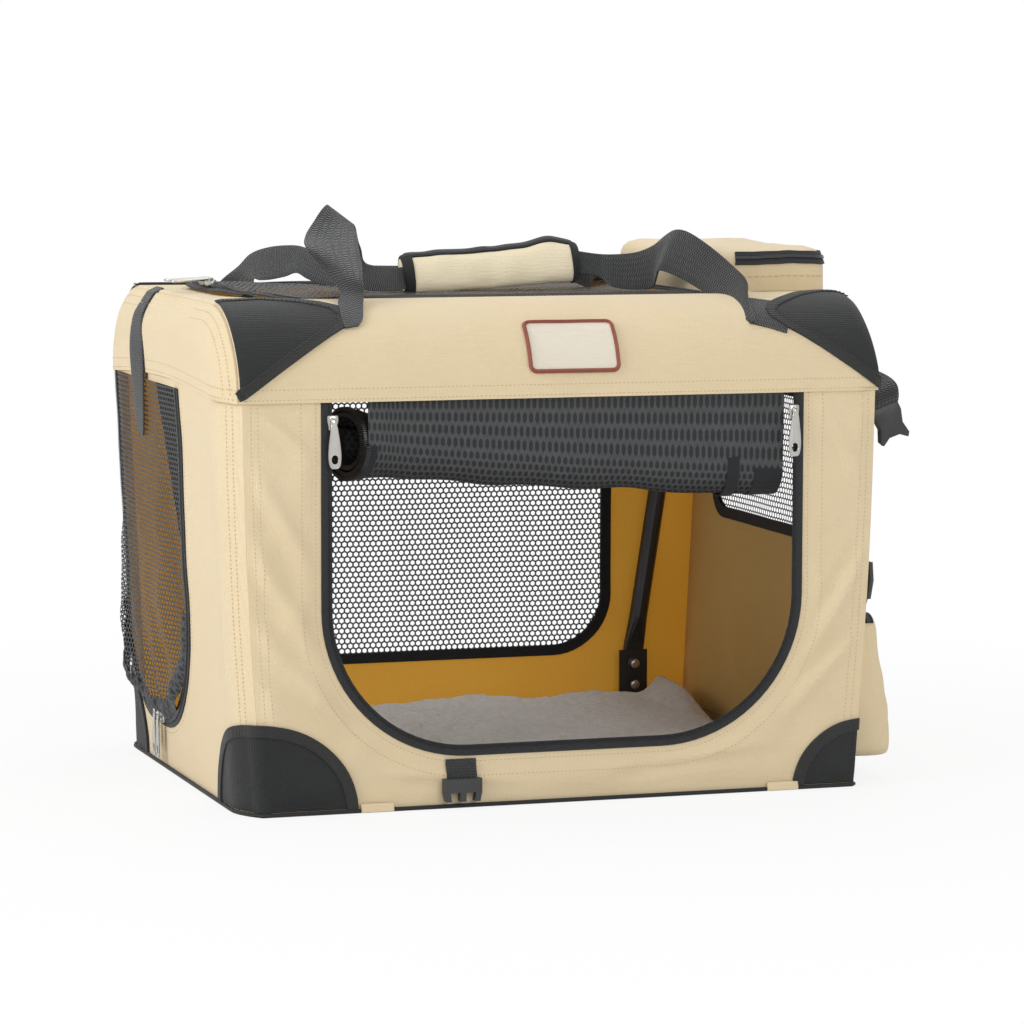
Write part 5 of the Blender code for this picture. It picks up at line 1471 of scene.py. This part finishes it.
def girdle(shape, shell, lower, width, thick, slot, where):
    """A band along part of a pouch, between two of its levels."""
    band = []
    for index in range(where[0], where[-1] + 1):
        base, over = shell[lower][index], shell[lower + 1][index]
        before, after = neighbours(shell[lower], index, True)
        up = (over - base).normalized()
        out = (after - before).normalized().cross(up)
        band.append([base.lerp(over, 0.5) + up * along + out * lift for along, lift in
                     ((-width / 2, -0.0006), (width / 2, -0.0006), (width / 2, thick), (-width / 2, thick))])
    shape.rows(band, slot, None, ring=True, caps=True)


def pouch_zip(shape, shell, lower, tape, teeth, where):
    """The zip let into a pouch: its tape, and its coil standing on it. Each is (width, height)."""
    girdle(shape, shell, lower, *tape, 1, where)
    girdle(shape, shell, lower, *teeth, 2, where)


top_pouch = Shape()
outline, shell = pouch(top_pouch, (0.151, -0.104, 0.4003), (0.262, 0.114, 0.434),
                       lambda u, v, w: Vector((u, v, w)), 101.0, 0.016, 0.004)
zipped = [index for index, (u, v) in enumerate(outline) if (v < 0 and u > 0.174) or (u > 0.2615 and v < 0.06)]
pouch_zip(top_pouch, shell, 3, (0.0115, 0.0010), (0.0026, 0.0022), zipped)
seam = [base.lerp(over, 0.35) for base, over in zip(shell[1], shell[2])]
proud = Vector((0, -0.0003, 0))
for one, two in zip(seam, seam[1:]):
    if one.y < -0.1 and (two - one).length < 0.02:
        wire(top_pouch, [one + proud, one.lerp(two, 0.62) + proud], 0.0004, slot=3, sides=5)
top_pouch.make("top_pouch_canvas", [cream, tape_black, coil_black, thread_tan], "top", ["top_pouch"], crisp=60)



def on_right_wall(u, v, w):
    """The side pouch hangs from its zip and stands out furthest at its foot."""
    return Vector((wall_half(v) + w * (1.52 - 0.80 * (v - 0.022) / 0.114), u, v))


side_pouch = Shape()
outline, shell = pouch(side_pouch, (-0.180, 0.020, 0.0016), (0.148, 0.137, 0.030), on_right_wall, 113.0, 0.012, 0.001,
                       ease=0.35)
zipped = [index for index, (u, v) in enumerate(outline) if v > 0.130]
pouch_zip(side_pouch, shell, 2, (0.0095, 0.0012), (0.0024, 0.0024), zipped)
cord = [(0.2660, -0.168, 0.1290), (0.2705, -0.169, 0.1240), (0.2755, -0.170, 0.1150), (0.2765, -0.169, 0.1105),
        (0.2735, -0.168, 0.1130), (0.2690, -0.167, 0.1230)]
wire(side_pouch, flowing(cord, 5), 0.0008, slot=2)
crumple(side_pouch.make("side_pouch_canvas", [cream, tape_black, coil_black], "base", ["side_pouch"], crisp=60))


# Ribbon, closing strap and buckles
# Narrow black webbing and moulded nylon buckles: a hook-and-loop ribbon at the left end, a closing strap
# under the doorway with the male half of a buckle, and at the right end a tab with its female half and an
# adjuster. Two folded tabs of canvas hold the front's foot.
NARROW, THIN = 0.025, 0.0014
moulded = Finish("black moulded nylon", {"Roughness": 0.45})
grain = moulded.noise(900.0, 2.0)
moulded.set(Base_Color=moulded.blend(moulded.noise(60.0), paint(38, 39, 41), paint(56, 57, 59)),
            Roughness=grain * 0.2 + 0.36, Normal=moulded.bump(grain, 0.0001, 0.5))
coat("male_buckle", moulded)

RIBBON_Y = 0.066
end_skin = band_surface(-1)
held = Shape()
over_edge = [cover_surface(-0.2655, COVER_MIDDLE + RIBBON_Y, 0.0010)]
over_edge += [end_skin(RIBBON_Y, z, 0.0014) for z in (0.3975, 0.3950, 0.3920, 0.3890)]
strap(held, over_edge, [(0, 1, 0)] * 5, [NARROW] * 5, THIN)
held.make("door_ribbon_anchor", [webbing], "top")
ribbon = Shape()
strap(ribbon, [(-0.2796, RIBBON_Y, 0.3885), (-0.2848, RIBBON_Y, 0.376), (-0.2864, RIBBON_Y - 0.002, 0.352),
               (-0.2860, RIBBON_Y - 0.006, 0.320), (-0.2852, RIBBON_Y - 0.009, 0.292),
               (-0.2840, RIBBON_Y - 0.010, 0.280)],
      [(0, 1, 0), (-0.08, 1, 0), (-0.22, 1, 0), (-0.15, 1, 0), (-0.05, 1, 0), (0, 1, 0)],
      [NARROW, NARROW, NARROW, 0.024, 0.022, 0.012], THIN)
ribbon.make("door_ribbon_webbing", [webbing], "door_ribbon", ["ribbon_strap"])

closing = Shape()
strap(closing, [(-0.088, -0.1990, 0.0395), (-0.088, -0.2002, 0.034), (-0.0875, -0.2012, 0.026),
                (-0.087, -0.2012, 0.016)],
      [(1, 0, 0)] * 4, [NARROW] * 4, THIN)
closing.make("closing_strap_webbing", [webbing], "front_strap", ["closing_strap"])

for x, tab_name in ((-0.157, "left"), (0.185, "right")):
    foot_tab = Shape()
    fold = [(-0.1990, 0.0075), (-0.2015, 0.0072), (-0.2030, 0.0040), (-0.2032, 0.0014), (-0.2012, 0.0006),
            (-0.1990, 0.0006)]
    rows = [[Vector((x + wide * 0.013, y, z)) for y, z in fold] for wide in (-1, -0.95, 0, 0.95, 1)]
    foot_tab.rows(rows, 0, None, ring=True, caps=True)
    foot_tab.make(f"foot_tab_{tab_name}", [cream], "base")

tab = Shape()
strap(tab, [(0.2690, -0.126, 0.3300), (0.2755, -0.142, 0.3290), (0.2825, -0.156, 0.3270), (0.2855, -0.1660, 0.3222),
            (0.2862, -0.1690, 0.3140), (0.2866, -0.1655, 0.3075), (0.2866, -0.1600, 0.3110)],
      [(0.1, 0.6, 0.8), (0.5, 0.4, 0.75), (0.85, 0.15, 0.45)] + [(0.94, 0, 0.33)] * 4, [0.023] * 7, THIN)
tab.make("buckle_tab_webbing", [webbing], "end_strap", ["buckle_tab"])
buckle = Shape()
right_half = [(11.5, 15), (12.5, 8), (10.5, -3), (13.5, -13), (11.5, -16.5), (5, -12)]
shell_outline = [(-11.5, 15)] + right_half + [(-across, along) for across, along in right_half[:0:-1]]
middle, down, wide = Vector((0.2905, -0.1650, 0.2945)), Vector((0.33, 0, -0.944)), Vector((0.944, 0, 0.33))
sheets = []
for thick, grow in ((-4.2, 0.90), (-3.6, 0.98), (-2.0, 1.0), (2.0, 1.0), (3.6, 0.98), (4.2, 0.90)):
    sheets.append([middle + (wide * across * grow - down * along * grow + Vector((0, thick, 0))) * 0.001
                   for across, along in divide(shell_outline, 1.5)])
buckle.rows(sheets, 0, None, ring=True, caps=True)
wire(buckle, [middle + wide * across - down * 0.0125 for across in (-0.010, 0.010)], 0.0022)
buckle.make("female_buckle_shell", [moulded], "end_strap", ["female_buckle"])

adjuster = Shape()
strap(adjuster, [(0.2574, -0.1505, 0.212), (0.2640, -0.1515, 0.200), (0.2730, -0.1525, 0.180), (0.2745, -0.1525, 0.162),
                 (0.2710, -0.1515, 0.142), (0.2590, -0.1505, 0.128)], [(0, 1, 0)] * 6, [NARROW] * 6, THIN)
for x, z in ((0.2720, 0.152), (0.2745, 0.165), (0.2735, 0.178)):
    wire(adjuster, [Vector((x, y, z)) for y in (-0.168, -0.160, -0.150, -0.140, -0.136)], 0.0026, slot=1)
for y in (-0.168, -0.136):
    wire(adjuster, [Vector((0.2720, y, 0.150)), Vector((0.2745, y, 0.165)), Vector((0.2735, y, 0.180))], 0.0026, slot=1)
crumple(adjuster.make("side_adjuster_webbing", [webbing, moulded], "base", ["side_adjuster"]))
